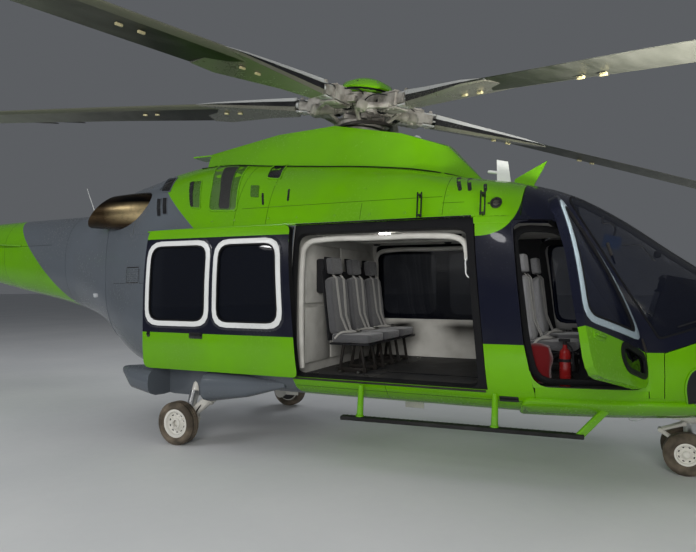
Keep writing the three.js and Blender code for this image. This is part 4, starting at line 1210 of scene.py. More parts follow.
GRILLE_OUTER = ((-1.594, 2.939), (-1.162, 2.891), (-1.021, 2.352), (-1.363, 2.372), (-1.436, 2.659))
GRILLE_MESH = ((-1.446, 2.884), (-1.271, 2.883), (-1.181, 2.639), (-1.1, 2.367), (-1.241, 2.376),
               (-1.296, 2.59))
REAR_SLOTS = (
    ((-2.22, 2.562), (-2.155, 2.556), (-2.056, 2.35), (-2.115, 2.354)),
    ((-2.127, 2.566), (-2.057, 2.559), (-1.967, 2.367), (-2.032, 2.371)),
)
GREEN_SLOT = ((-1.802, 2.731), (-1.628, 2.725), (-1.499, 2.403), (-1.638, 2.423))
GREEN_SLOT_DARK = ((-1.802, 2.731), (-1.735, 2.729), (-1.6, 2.418), (-1.638, 2.423))
GREEN_SLOT_FLAP = ((-1.725, 2.725), (-1.596, 2.416), (-1.503, 2.408), (-1.634, 2.722))
CORNER_GRILLE = ((-2.207, 2.654), (-2.059, 2.638), (-2.111, 2.823), (-2.309, 2.841))
SCOOP = ((-0.835, 2.851), (-0.682, 2.854), (-0.621, 2.665), (-0.78, 2.69))
DULL_SQUARE = ((-0.935, 2.614), (-0.83, 2.606), (-0.788, 2.471), (-0.887, 2.483))
# The openings are drawn as black plates on the hull: painted shade for their insides
# Columns: outline, rounding of its corners, lift
COWL_OPENINGS = (
    (REAR_SLOTS[0], 0.012, 0.003), (REAR_SLOTS[1], 0.012, 0.003), (GREEN_SLOT_DARK, 0.015, 0.005),
    (CORNER_GRILLE, 0.02, 0.004), (SCOOP, 0.03, 0.004),
)
# Columns: top x, z, foot x, z, width
SMALL_SLOTS = (
    (-0.752, 2.506, -0.712, 2.397, 0.022), (-0.459, 2.529, -0.436, 2.422, 0.022),
    (1.176, 2.56, 1.236, 2.425, 0.032), (1.272, 2.546, 1.32, 2.42, 0.032),
    (1.434, 2.462, 1.452, 2.405, 0.028),
)
# Columns: count, step, first one's top x, z, its foot x, z, lift, radius
COWL_SLATS = (
    (5, 0.012, -2.196, 2.56, -2.101, 2.355, 0.003, 0.0025),
    (7, 0.02, -0.8, 2.83, -0.75, 2.69, 0.005, 0.003),
    (6, 0.034, -2.28, 2.81, -2.25, 2.67, 0.005, 0.003),
)
GRAB_RAILS = (((0.888, 2.372), (0.912, 2.176)), ((1.427, 2.354), (1.446, 2.17)))
RAIL_PITCH = 0.034
RAIL_HEIGHT = 0.04
SOCKET = (1.559, 2.279)
# Columns: x, z of each round latch on the cowling
COWL_LATCHES = (
    (-1.3, 2.25), (-1.02, 2.25), (-0.62, 2.25), (-0.3, 2.245), (0.1, 2.24),
    (0.45, 2.235), (0.78, 2.23), (1.1, 2.225), (-0.63, 2.6), (-1.02, 2.72), (1.14, 2.36), (0.36, 2.48),
)


def slot_outline(x0, z0, x1, z1, width):
    long = math.hypot(x0 - x1, z0 - z1) + width
    return oblong((x0 + x1) / 2, (z0 + z1) / 2, long, width, math.atan2(x1 - x0, z0 - z1))


def grab_rails(side):
    """The pairs of upright rails, with their cross-bars and feet."""
    for (x0, z0), (x1, z1) in GRAB_RAILS:
        for shift in (0, RAIL_PITCH):
            top, foot = on_side(x0 + shift, z0, side, RAIL_HEIGHT), on_side(x1 + shift, z1, side, RAIL_HEIGHT)
            yield rod(top.lerp(foot, -0.06), top.lerp(foot, 1.06), 0.007, 10, rim=0.002)
        for share in (0.04, 0.96):
            x, z = x0 + (x1 - x0) * share, z0 + (z1 - z0) * share
            middle = x + RAIL_PITCH / 2
            yield rod(on_side(x, z, side, RAIL_HEIGHT), on_side(x + RAIL_PITCH, z, side, RAIL_HEIGHT), 0.007,
                      8)
            yield rod(on_side(middle, z, side, -0.01), on_side(middle, z, side, RAIL_HEIGHT), 0.01, 10)


class HELICOPTER_OT_cowling(bpy.types.Operator):
    """Adds the intakes, slots, scoops, latches and rails of the engine cowling"""

    bl_idname = "helicopter.cowling"
    bl_label = "Engine cowling fittings"

    def execute(self, context):
        for name, side in SIDES:
            # Painted shade: black plates stand for the dark inside of the slots, grilles and scoop
            keep(f"cowl_opening_shade_{name}", "black enamel",
                 [plate(rounded(outline, radius), side, lift) for outline, radius, lift in COWL_OPENINGS],
                 [plate(slot_outline(*entry), side) for entry in SMALL_SLOTS])
            keep(f"intake_screen_{name}", "wire screen", plate(rounded(GRILLE_MESH, 0.04), side, 0.008))
            keep(f"cowl_frames_{name}", "green paint", ring(GRILLE_OUTER, 0.016, side, 0.05),
                 ring(GREEN_SLOT, 0.012, side), ring(SCOOP, 0.012, side, 0.035, 0.01))
            keep(f"rear_slot_frames_{name}", "slate paint",
                 [ring(outline, 0.008, side, 0.012, 0.006) for outline in REAR_SLOTS],
                 ring(CORNER_GRILLE, 0.01, side, 0.02))
            # Painted shade: the recessed grille surround, the slot's flap and the dull square take a darker
            # copy of the green
            keep(f"cowl_recesses_{name}", "green in painted shade", plate(rounded(GRILLE_OUTER, 0.05), side, 0.003),
                 ring(GRILLE_MESH, 0.01, side, 0.04, 0.01),
                 plate(rounded(GREEN_SLOT_FLAP, 0.012), side, 0.006),
                 plate(rounded(DULL_SQUARE, 0.012), side, 0.005))
            keep(f"cowl_slats_{name}", "black plastic",
                 [rod(on_side(x0 + step * k, z0, side, lift), on_side(x1 + step * k, z1, side, lift), radius,
                      6)
                  for count, step, x0, z0, x1, z1, lift, radius in COWL_SLATS for k in range(count)])
            keep(f"grab_rails_{name}", "black enamel", grab_rails(side))
            keep(f"cowl_latches_{name}", "green paint",
                 [(plate(circle(x, z, 0.015, 12), side, 0.002, rim=0.001),
                   hull_bolt(x, z, side, 0.002, 0.006, 0.002)) for x, z in COWL_LATCHES])
            keep(f"cowl_socket_{name}", "bare steel", plate(circle(*SOCKET, 0.028, 16), side, 0.006))
            keep(f"socket_collar_{name}", "black enamel",
                 ring(circle(*SOCKET, 0.028, 16), 0.02, side, 0, 0.01),
                 plate(oblong(1.5, 2.278, 0.02, 0.012, 1.5), side, 0.005))
            keep(f"cowl_ledge_{name}", "green paint",
                 plate(rect(-2.2, 1.4, 2.165, 2.182), side, 0.016, rim=0.004))
        return {"FINISHED"}


FAIRING_LAMP = ((0.6, -0.05, 3.095), (0.5, -0.1, 0.8), 20)
# Along the fairing's lower edge runs a thin black strip, painted shadow under the edge
# Columns: x, distance from the middle
FAIRING_SHADOW_LINE = (
    (1.24, 0.1), (1.1, 0.26), (0.95, 0.375), (0.7, 0.452), (0.5, 0.502), (0.1, 0.528), (-0.2, 0.543),
    (-0.9, 0.503), (-1.4, 0.448), (-1.84, 0.404),
)


class HELICOPTER_OT_fairing(bpy.types.Operator):
    """Finishes the mast fairing: its front lamp, rotor shroud and a thin black strip under its lower edge,
    painted shadow where the edge overhangs the cowling
    """

    bl_idname = "helicopter.fairing"
    bl_label = "Mast fairing"

    def execute(self, context):
        dress_softened("mast_fairing", "green paint", "green_paint", FAIRING_TOP_EDGE)
        keep("mast_shroud", "dark metal",
             spun([(0.268, 0), (0.3, 0), (0.3, 0.022), (0.286, 0.034), (0.268, 0.03)], (0, 0, 3.262), UP, 40))
        # Painted shadow: a thin black strip under the fairing's lower edge
        keep("fairing_shadow_line", "seal rubber",
             [pipe([on_crown(x, side * y, 0.006) for x, y in FAIRING_SHADOW_LINE], 0.006) for side in (-1, 1)])
        keep("fairing_lamp", "lamp glass",
             spun([(0, -0.02), (0.045, -0.02), (0.045, 0.012), (0.03, 0.034), (0, 0.042)], *FAIRING_LAMP))
        keep("fairing_lamp_base", "bare steel",
             spun([(0, -0.06), (0.058, -0.06), (0.058, 0.004), (0.047, 0.008), (0, -0.01)], *FAIRING_LAMP))
        return {"FINISHED"}


# Airframe fittings: window rubbers, vents, lamps, sills, antennas and the nose

WINDSCREEN = ((2.76, 1.19), (3.72, 1.5), (3.72, 2.7), (2.08, 2.7), (2.11, 2.3))
CABIN_WINDOWS = (
    ((-0.215, 1.24), (0.48, 1.24), (0.48, 1.992), (-0.215, 1.992)),
    ((0.625, 1.24), (1.315, 1.24), (1.262, 1.992), (0.625, 1.992)),
)
WINDOW_PLATE = 0.077
COCKPIT_WINDOW = ((1.845, 1.195), (2.56, 1.195), (2.09, 2.045), (1.765, 2.045))
COCKPIT_LOW_WINDOW = ((2.33, 0.912), (2.63, 0.902), (2.63, 1.05), (2.29, 1.08), (2.262, 1))
COCKPIT_DOOR = ((1.88, 0.8), (2.69, 0.812), (2.67, 1.08), (2.124, 2.112), (1.701, 2.112), (1.8, 1.15))
DOOR_ROUNDING = 0.13
# Which corners of the cockpit doorway are rounded by a web of each paint; the navy one is the slate in
# painted shade
WEB_CORNERS = (("green", (0, 1)), ("navy_in_shade", (3, 4)))
CABIN_DOORWAY = ((-0.3, 0.745), (1.512, 0.745), (1.387, 2.16), (-0.3, 2.16))
CABIN_RAIL = ((-0.272, 0.752), (1.448, 0.752), (1.33, 2.082), (-0.272, 2.082))
BELT_FAIRING = ((1.72, 0.56), (3.3, 0.6), (3.24, 0.7), (3, 0.712), (1.8, 0.7))
NOSE_RECESS = ((2.96, 0.66), (3.18, 0.68), (3.22, 0.86), (3.12, 0.98), (2.98, 0.98), (2.93, 0.86))
SIDE_VENT = rect(-2.55, -2.3, 1.62, 1.8)


def handle(x0, x1, z, rounding, lift, inset, side):
    """A grab bar on two feet, over a flat plate."""
    yield plate(rounded(rect(x0, x1, z - 0.03, z + 0.03), rounding), side, 0.006)
    yield rod(on_side(x0 + 0.015, z, side, lift), on_side(x1 - 0.01, z, side, lift), 0.008, 10, rim=0.003)
    for x in (x0 + inset, x1 + 0.005 - inset):
        yield rod(on_side(x, z, side), on_side(x, z, side, lift), 0.007, 8)


def door_hinges(side):
    """The two hinges on the raked front edge of a cockpit door."""
    for share in (0.04, 0.72):
        ends = [HINGE_FOOT + (HINGE_HEAD - HINGE_FOOT) * place for place in (share, share + 0.09)]
        yield rod(*[Vector((end.x - 0.012, -side * end.y, end.z)) for end in ends], 0.013, 12, rim=0.003)


def door_web(corner, side, steps=6):
    """The piece of skin that rounds one corner of the cockpit doorway."""
    part = slice(corner * (steps + 1), (corner + 1) * (steps + 1))
    wide, near = grown(COCKPIT_DOOR, 0.011), grown(COCKPIT_DOOR, 0.006)
    arc, outer = rounded(near, DOOR_ROUNDING, steps)[part], rounded(wide, DOOR_ROUNDING, steps)[part]
    return plate([wide[corner], outer[-1], *reversed(arc), outer[0]], side, 0.0012, 0.006, rim=0)


class HELICOPTER_OT_doors(bpy.types.Operator):
    """Adds the window frames, handles, hinges, rails and seals of the doors"""

    bl_idname = "helicopter.doors"
    bl_label = "Door trims"

    def execute(self, context):
        trims = sizes()
        for name, side in SIDES:
            slid, turned = door_move(f"cabin_door_{name}"), door_move(f"cockpit_door_{name}")
            body = f"cockpit_door_{name}_body"
            # The navy plates round the cabin windows are the slate in painted shade
            keep(f"cabin_window_plates_{name}", "navy_in_shade paint",
                 [ring(window, WINDOW_PLATE, side, 0.13, 0.0025, 0.011) for window in CABIN_WINDOWS],
                 move=slid)
            keep(f"cabin_window_trim_{name}", "white trim",
                 [ring(window, trims.cabin_trim, side, 0.13, 0.006, 0.002) for window in CABIN_WINDOWS],
                 move=slid)
            keep(f"cabin_window_rubber_{name}", "seal rubber",
                 [ring(grown(window, -0.014), 0.016, side, 0.116, 0.009) for window in CABIN_WINDOWS],
                 move=slid)
            keep(f"cabin_door_handle_{name}", "black enamel",
                 handle(0.3, 0.46, 1.1, 0.012, 0.022, 0.02, side),
                 handle(-0.24, -0.2, 1.1, 0.012, 0.022, 0.02, side), move=slid)

            keep(f"cockpit_window_trim_{name}", "window trim",
                 ring(grown(COCKPIT_WINDOW, -0.012), trims.door_trim, side, 0.1, 0.006, 0.002),
                 body=body, move=turned)
            keep(f"cockpit_window_rubber_{name}", "seal rubber",
                 ring(grown(COCKPIT_WINDOW, -0.028), 0.018, side, 0.09, 0.009),
                 ring(grown(COCKPIT_LOW_WINDOW, -0.014), 0.04, side, 0.09, 0.009), body=body, move=turned)
            keep(f"cockpit_door_handle_{name}", "green paint",
                 handle(1.9, 2.04, 1.08, 0.02, 0.018, 0.025, side),
                 body=body, move=turned)
            pull = [on_side(x, 1.13, side, lift) for x, lift in
                    ((2.02, -0.068), (2.03, -0.105), (2.2, -0.105), (2.21, -0.068))]
            keep(f"cockpit_door_panel_{name}", "black plastic",
                 [plate(rect(x, x + 0.03, 0.86, 1.11), side, -0.066, 0.074, rim=0.003)
                  for x in (1.93 + 0.045 * k for k in range(7))], pipe(pull, 0.01), body=body, move=turned)
            keep(f"cockpit_hinges_{name}", "dark metal", door_hinges(side), body=body, move=turned)

            for paint, corners in WEB_CORNERS:
                keep(f"doorway_corners_{paint}_{name}", f"{paint} paint",
                     [door_web(corner, side) for corner in corners])
            jamb = [ring(grown(COCKPIT_DOOR, -0.04), 0.058, side, 0.12, -0.086, 0.1)]
            if side < 0:
                jamb.append(plate(CABIN_DOORWAY, side, -0.004, 0.072, hole=rounded(CABIN_RAIL, 0.1),
                                  rim=0.004))
            keep(f"doorway_rubber_{name}", "seal rubber", jamb)
            keep(f"door_rail_{name}", "dark metal",
                 [plate(rect(-2.02, -0.31, z, z + 0.026), side, 0.014, rim=0.003) for z in (2.12, 0.8)])
        return {"FINISHED"}


def over_sill(x, side, above, lift):
    """A place on the windscreen, above its lower edge."""
    (x0, z0), (x1, z1) = WINDSCREEN[:2]
    return on_side(x, z0 + (z1 - z0) * (x - x0) / (x1 - x0) + above, side, lift)


def beside_post(x, z, side, lift):
    """The windscreen's edge, which stops at the centre post where the hull narrows to nothing."""
    p = on_side(x, min(z, section(x)[3] - 0.002), side, lift)
    return on_crown(x, side * 0.037, lift) if abs(p.y) < 0.037 else p


def pitot_tube(side):
    """A bent probe on its base."""
    base = on_side(3.36, 0.88, side)
    out, _ = hull_slope(base)
    neck = base + out * 0.1
    yield pipe([base - out * 0.01, base + out * 0.07, neck + FRONT * 0.03, neck + FRONT * 0.17], 0.01)
    yield plate(circle(3.36, 0.88, 0.04, 18), side, 0.006)


def wiper(side):
    """A wiper's arm, blade and pivot."""
    foot = on_crown(3.6, side * 0.1)
    yield pipe([foot + UP * 0.02, over_sill(3.38, side, 0.04, 0.034), over_sill(3.14, side, 0.055, 0.022)],
               0.007)
    yield pipe([over_sill(x, side, 0.05, 0.014) for x in (3.4, 3.27, 3.14, 3.01, 2.88)], 0.006)
    yield rod(on_crown(3.6, side * 0.1, -0.01), foot + UP * 0.032, 0.018, 14, rim=0.004)


def belly_blade(x, y, tall, long):
    """A flat aerial under the hull."""
    top = on_belly(x, y, 0.004).z
    return block((x - long / 2, y - 0.008, top - tall), (x + long / 2, y + 0.008, top), 0.006)


class HELICOPTER_OT_hull_fittings(bpy.types.Operator):
    """Adds what stands on the hull: lower fairings, vents, lamps, wipers, probes and aerials"""

    bl_idname = "helicopter.hull_fittings"
    bl_label = "Hull fittings"

    def execute(self, context):
        for name, side in SIDES:
            keep(f"lower_fairing_{name}", "green paint",
                 plate(rounded(BELT_FAIRING, 0.05), side, 0.036, 0.02, rim=0.022), crease=50)
            # Painted shade: black plates stand for the dark inside of the small recess and behind the vent's
            # louvres
            keep(f"hull_recess_shade_{name}", "black enamel",
                 plate(rounded(rect(1.6, 1.752, 0.655, 0.702), 0.006), side),
                 plate(rounded(SIDE_VENT, 0.02), side, 0.003))
            louvres = [plate(rect(-2.54, -2.31, z - 0.01, z + 0.01), side, 0.006, 0.004, rim=0.0015)
                       for z in (1.63 + 0.16 * (k + 0.5) / 7 for k in range(7))]
            keep(f"hull_vents_{name}", "slate paint", ring(SIDE_VENT, 0.012, side, 0.02, 0.006), louvres,
                 ring(circle(-1.2, 1.95, 0.075, 24), 0.012, side, 0, 0.006),
                 plate(circle(-1.2, 1.95, 0.066, 24), side, 0.005))
            keep(f"windscreen_rubber_{name}", "seal rubber",
                 ring(grown(WINDSCREEN, -0.01), 0.014, side, 0.02, 0.004, 0.008, place=beside_post))
            keep(f"windscreen_bead_{name}", "bare steel",
                 pipe([on_crown(2.14 + 0.13 * k, side * 0.039, 0.003) for k in range(11)], 0.0035))
            keep(f"wiper_{name}", "black plastic", wiper(side))
            keep(f"nose_recess_{name}", "black plastic",
                 plate(rounded(NOSE_RECESS, 0.07), side, 0.011, 0.02, rim=0.002))
            keep(f"nose_ring_{name}", "bare steel", ring(circle(3.03, 0.93, 0.016, 14), 0.008, side, 0,
                                                         0.017),
                 [hull_bolt(x, z, side, 0.012, 0.008, 0.004)
                  for x, z in ((3, 0.72), (3.14, 0.74), (3.1, 0.92))])
            keep(f"nose_recess_edge_{name}", "green paint", ring(NOSE_RECESS, 0.012, side, 0.07, 0.014))
            keep(f"pitot_tube_{name}", "bare steel", pitot_tube(side))
            keep(f"rear_lamp_{name}", "lamp glass",
                 plate(rounded(rect(-3.33, -3.24, 1.455, 1.505), 0.02), side, 0.02, rim=0.008))
            keep(f"cabin_sill_{name}", "dark metal",
                 plate(rect(-0.29, 1.5, 0.728, 0.743), side, 0.01, rim=0.003))
            keep(f"cabin_gutter_{name}", "black enamel",
                 plate(rect(-0.29, 1.37, 2.163, 2.17), side, 0.02, rim=0.002))

        foot = on_crown(-3.9, 0, -0.01)
        keep("whip_aerial", "white trim", rod(foot, foot + UP * 0.03, 0.022, 14, rim=0.004),
             rod(foot + UP * 0.02, foot + Vector((-0.17, 0, 0.4)), 0.006, 8, far_radius=0.003))
        keep("blade_aerial_foot", "white trim", rod((1.4, 0, 2.7), (1.31, 0, 2.715), 0.016, 12, rim=0.004),
             block((1.37, -0.05, 2.49), (1.58, 0.05, 2.545), 0.008))
        keep("belly_aerials", "white enamel", belly_blade(0.55, 0, 0.17, 0.2),
             belly_blade(1.75, 0.22, 0.1, 0.14),
             belly_blade(-0.9, 0, 0.15, 0.16))
        keep("belly_beacon", "red glass",
             spun([(0, 0), (0.055, 0), (0.055, 0.03), (0.04, 0.065), (0, 0.075)], on_belly(-0.35, 0), -UP,
                  24))
        keep("landing_lamps", "lamp glass",
             [spun([(0, 0), (0.085, 0), (0.085, 0.035), (0.07, 0.05), (0, 0.052)],
                   on_belly(2.62, side * 0.42), (0.35, 0, -1), 28) for side in (-1, 1)])
        return {"FINISHED"}


# Rotor head, blades, exhausts and tail

ARMS = angles(BLADE_COUNT, FIRST_BLADE)


def on_arms(draw, *values):
    """What is drawn along one arm of the rotor, repeated on all of them."""
    return [moved([draw(*values)], about(turn)) for turn in ARMS]


def damper():
    """The damper of one arm: its sleeves, end eyes and lock rings."""
    outer, knee, inner = Vector((0.56, -0.06, -0.04)), Vector((0.42, -0.33, -0.095)), Vector((0.14, -0.17,
                                                                                              -0.02))
    for near, far, radius, sides, rim in ((0.1, 0.55, 0.054, 20, 0.005), (0.58, 0.66, 0.058, 20, 0.004),
                                          (0.7, 0.92, 0.05, 16, 0.004)):
        yield rod(knee.lerp(inner, near), knee.lerp(inner, far), radius, sides, rim=rim)
    yield spun([(0.022, -0.03), (0.048, -0.03), (0.052, 0), (0.048, 0.03), (0.022, 0.03)], outer,
               (0.2, 0.1, 1), 20)
    yield spun([(0, -0.045), (0.05, -0.045), (0.058, -0.03), (0.058, 0.03), (0.05, 0.045), (0, 0.045)], knee,
               (0.1, 0.3, 1), 20)
    yield pin(outer, 0.05, 0.018, 6, UP)
    yield pin(knee, 0.062, 0.018, 6, UP)


def bolt_grid(columns, rows, z, way, radius, height):
    return [bolt((x, y, z), way, radius, height) for x in columns for y in rows]


def cuff():
    """The forked cuff of one arm, with its bolts and the blade's two root pins."""
    for z, way in ((-0.078, -UP), (0.082, UP)):
        yield block((0.375, -0.098, z - 0.01), (0.64, 0.098, z + 0.01), 0.006)
        yield bolt_grid((0.4, 0.46, 0.52, 0.6), (-0.078, 0.078), z + way.z * 0.01, way, 0.011, 0.008)
    for y in (-0.045, 0.045):
        yield rod((0.735, y, -0.075), (0.735, y, 0.085), 0.024, 16, rim=0.004)
        yield bolt((0.735, y, 0.088), UP, 0.017, 0.01)
    for z, way in ((0.061, UP), (-0.056, -UP)):
        yield bolt_grid((0.22, 0.3), (-0.05, 0.05), z, way, 0.013, 0.01)


def grip():
    """The pale plates that clasp a blade's root above and below."""
    for z, way in ((-0.058, -UP), (0.061, UP)):
        yield block((0.6, -0.07, z - 0.008), (0.8, 0.07, z + 0.008), 0.005)
        yield bolt_grid((0.78, 0.74), (-0.05, 0.05), z + way.z * 0.008, way, 0.009, 0.006)


def bearing():
    """The layered rubber bearing between hub and cuff."""
    for k in range(7):
        x = 0.295 + 0.01 * k
        yield rod((x, 0, 0), (x + 0.0065, 0, 0), 0.082 if k % 2 else 0.088, 24)


def pitch_link():
    """The pitch link of one arm: turnbuckle, rod ends and their bolts."""
    top, foot = Vector((0.43, 0.18, -0.02)), Vector((0.215, 0.11, -0.19))
    for near, far, radius in ((0.22, 0.78, 0.021), (0.14, 0.2, 0.025), (0.8, 0.86, 0.025)):
        yield rod(top.lerp(foot, near), top.lerp(foot, far), radius, 6)
    for end in (top, foot):
        yield spun([(0.012, -0.018), (0.03, -0.018), (0.034, 0), (0.03, 0.018), (0.012, 0.018)], end,
                   (-0.3, 1, 0), 16)
        yield rod(end + Vector((0.01, -0.035, 0)), end + Vector((-0.01, 0.035, 0)), 0.011, 6)


def head_line():
    """Bonding strap and hydraulic line of one arm."""
    yield pipe([(0.16, 0.09, 0.07), (0.26, 0.13, 0.11), (0.4, 0.125, 0.1), (0.5, 0.1, 0.075)], 0.007)
    yield pipe([(0.2, -0.18, -0.04), (0.3, -0.2, 0.03), (0.42, -0.17, 0.06), (0.52, -0.11, 0.05)], 0.006)
    yield pipe([(0.62, 0.09, 0.03), (0.7, 0.12, 0.05), (0.82, 0.1, 0.03)], 0.005)


def servos():
    """The three servos round the mast."""
    for a in angles(3, math.radians(40)):
        spot = polar(0.185, a)
        yield rod(spot - UP * 0.62, spot - UP * 0.4, 0.04, 18, rim=0.005)
        yield rod(spot - UP * 0.42, spot - UP * 0.31, 0.016)
        yield spun([(0, -0.02), (0.026, -0.02), (0.03, 0), (0.026, 0.02), (0, 0.02)], spot - UP * 0.315,
                   FRONT, 16)


# Columns: piece, finish, what draws it on each arm, slot where it isn't the finish's own
HEAD_PARTS = (
    ("head_cuffs", "hub metal", cuff, None), ("blade_grips", "blade root grey", grip, None),
    ("head_dampers", "head alloy", damper, None), ("head_bearings", "seal rubber", bearing, None),
    ("pitch_links", "head alloy", pitch_link, "bright_metal"),
    ("head_lines", "black plastic", head_line, None),
)


class HELICOPTER_OT_rotor_head(bpy.types.Operator):
    """Adds the cuffs, dampers, bearings, links, lines and cap detail of the main rotor head"""

    bl_idname = "helicopter.rotor_head"
    bl_label = "Rotor head"

    def execute(self, context):
        dress_softened("rotor_hub", "hub metal", "hub_metal", 30)
        dress_cap()
        stand = rotor_move()
        for name, finish, draw, slot in HEAD_PARTS:
            keep(name, finish, on_arms(draw), body="main_rotor", slot=slot, move=stand)
        keep("head_plates", "hub metal",
             spun([(0.09, 0.096), (0.235, 0.096), (0.242, 0.104), (0.242, 0.116), (0.235, 0.124),
                   (0.09, 0.124)],
                  steps=40),
             [bolt(polar(0.215, a, z), way, 0.011, 0.008) for a in angles(20)
              for z, way in ((0.124, UP), (-0.078, -UP))],
             spun([(0.075, -0.165), (0.12, -0.165), (0.105, -0.12), (0.105, -0.078), (0.075, -0.078)]),
             [block((0.08, -0.03, -0.14), (0.235, 0.03, -0.09), 0.008, about(arm + math.pi / BLADE_COUNT))
              for arm in ARMS], body="main_rotor", move=stand)
        keep("swashplate_boot", "seal rubber",
             [spun([(0.111, z), (0.135, z), (0.142, z - 0.02), (0.135, z - 0.04), (0.111, z - 0.04)])
              for z in (-0.3, -0.36, -0.42, -0.48)], move=stand)
        keep("rotor_servos", "bare steel", servos(), move=stand)
        keep("rotor_scissors", "bare steel",
             [rod((0.1 * way, 0, -0.262), (0.33 * way, 0.05 * way, -0.25), 0.018) for way in (1, -1)],
             move=stand)
        keep("cap_button", "bare steel", spun([(0, 0.322), (0.055, 0.322), (0.05, 0.334), (0, 0.338)],
                                              steps=24),
             [bolt(polar(0.315, a, 0.232), polar(0.7, a, 1), 0.009, 0.004) for a in angles(8)],
             body="main_rotor", move=stand @ CAP_FIT)
        keep("cap_seal", "seal rubber",
             spun([(0.325, 0.136), (0.352, 0.15), (0.35, 0.158), (0.34, 0.158), (0.318, 0.136)], steps=48),
             body="main_rotor", move=stand @ CAP_FIT)
        return {"FINISHED"}


BLADE_PADS = (1.52, 1.7, 2.68, 2.86)
ROOT_TWIST = math.radians(9)
# Columns: radius, leading edge, trailing edge, half height of the black core, half height in all, droop
BLADE_ROOT = (
    (0.79, 0.088, -0.09, 0.036, 0.078, 0.001), (1.15, 0.102, -0.152, 0.027, 0.06, 0.015),
    (1.5, 0.119, -0.25, 0.017, 0.042, 0.032), (1.8, 0.133, -0.334, 0.008, 0.026, 0.047),
    (2.05, 0.128, -0.325, 0.002, 0.012, 0.06),
)
STRAP_LAP = 0.006
# Columns: piece, which layer, finish
ROOT_LAYERS = (
    ("blade_root_cores", 0, "black enamel"), ("blade_root_tops", 1, "blade root grey"),
    # The lower straps are drawn darker than the upper ones: painted shade
    ("blade_root_bottoms", -1, "blade root in shade"), ("blade_root_caps", 2, "blade olive"),
)


def root_section(x, lead, trail, low, high, shrink, droop):
    """Four corners of one strap of a blade's root, its outer face narrower than its inner one."""
    corners = ((trail, low), (lead, low), (lead - shrink, high), (trail + shrink, high))
    cosine, sine = math.cos(ROOT_TWIST), math.sin(ROOT_TWIST)
    return [(x, y * cosine - z * sine, y * sine + z * cosine - droop) for y, z in corners]


def root_layer(layer):
    """The upper strap (1), its dark cap (2), the lower strap (-1) or the black core (0) of a blade's root."""
    rings = []
    for x, lead, trail, core, whole, droop in BLADE_ROOT:
        if layer == 2:
            inset, low, high, shrink = 0.012, whole - 0.002, whole + 0.003, 0.003
        elif layer:
            inset, low, high, shrink = -STRAP_LAP, layer * core * 0.9, layer * whole, 0.012
        else:
            inset, low, high, shrink = 0, -core, core, 0
        rings.append(root_section(x, lead - inset, trail + inset, low, high, shrink, droop))
    return loft(rings, closed=True)


def blade_pads():
    for x in BLADE_PADS:
        drop = -0.097 - max(0, x - 1.85) * 0.048 + max(0, 1.85 - x) * 0.03
        yield block((x, -0.045, drop - 0.01), (x + 0.055, -0.02, drop + 0.01), 0.003)


def blade_tabs():
    for x in (4.15, 4.62):
        drop = -0.125 - (x - 3.4) * 0.055
        yield block((x, -0.385, drop - 0.042), (x + 0.4, -0.34, drop - 0.034), 0.002)


class HELICOPTER_OT_blades(bpy.types.Operator):
    """Paints the rotor blades and adds their root straps, pads and tabs"""

    bl_idname = "helicopter.blades"
    bl_label = "Rotor blades"

    def execute(self, context):
        stand = rotor_move()
        for number in range(BLADE_COUNT):
            dress_blade(number)
        keep("blade_pads", "pad cream", on_arms(blade_pads), body="main_rotor", move=stand)
        for name, layer, finish in ROOT_LAYERS:
            keep(name, finish, on_arms(root_layer, layer), body="main_rotor", move=stand)
        keep("blade_tabs", "dark metal", on_arms(blade_tabs), body="main_rotor", slot="blade_paint",
             move=stand)
        return {"FINISHED"}


# Columns: x, y and z of the exhaust's middle line, its radius across and upright
EXHAUST_PATH = (
    (-2.2, 0.4, 2.455, 0.2, 0.205), (-2.5, 0.55, 2.45, 0.2, 0.21), (-2.8, 0.66, 2.44, 0.18, 0.19),
    (-3.1, 0.74, 2.432, 0.15, 0.158), (-3.4, 0.8, 2.42, 0.12, 0.13),
)
EXHAUST_WALL = 0.012
# The slanted plane that cuts the exhaust's mouth
EXHAUST_CUT = Vector((-2.77, 0, 2.68))
EXHAUST_CUT_WAY = Vector((-0.72, 0, 0.694))
# The black plug at this depth inside the mouth is painted shade for the depth of the pipe
EXHAUST_DEPTH = 0.04  # of the dark core inside the mouth


def duct_ring(share, side, slim, count=40):
    """One ring of the exhaust at a share along its path, the share counted in rows."""
    last = len(EXHAUST_PATH) - 1
    i = min(int(share), last - 1)
    near = [Vector(EXHAUST_PATH[min(max(i + k, 0), last)]) for k in (-1, 0, 1, 2)]
    t = share - i
    row = (near[1] * 2 + (near[2] - near[0]) * t
           + (near[0] * 2 - near[1] * 5 + near[2] * 4 - near[3]) * t ** 2
           + (near[1] * 3 - near[0] - near[2] * 3 + near[3]) * t ** 3) / 2
    ahead = (near[2] - near[1]).xyz.normalized()
    across = ahead.cross(UP).normalized()
    upright = across.cross(ahead)
    spots = [Vector(row[:3]) + across * ((row[3] - slim) * math.cos(a))
             + upright * ((row[4] - slim) * math.sin(a))
             for a in angles(count)]
    return [(spot.x, side * spot.y, spot.z) for spot in spots]


def duct(side, slim, depth):
    """The exhaust's wall, slimmed and cut off at a depth inside its slanted mouth."""
    bm = loft([duct_ring(step / 5, side, slim) for step in range(21)])
    bmesh.ops.bisect_plane(bm, geom=bm.verts[:] + bm.edges[:] + bm.faces[:],
                           plane_co=EXHAUST_CUT - EXHAUST_CUT_WAY * depth, plane_no=EXHAUST_CUT_WAY,
                           clear_outer=True)
    bmesh.ops.recalc_face_normals(bm, faces=bm.faces)
    return bm


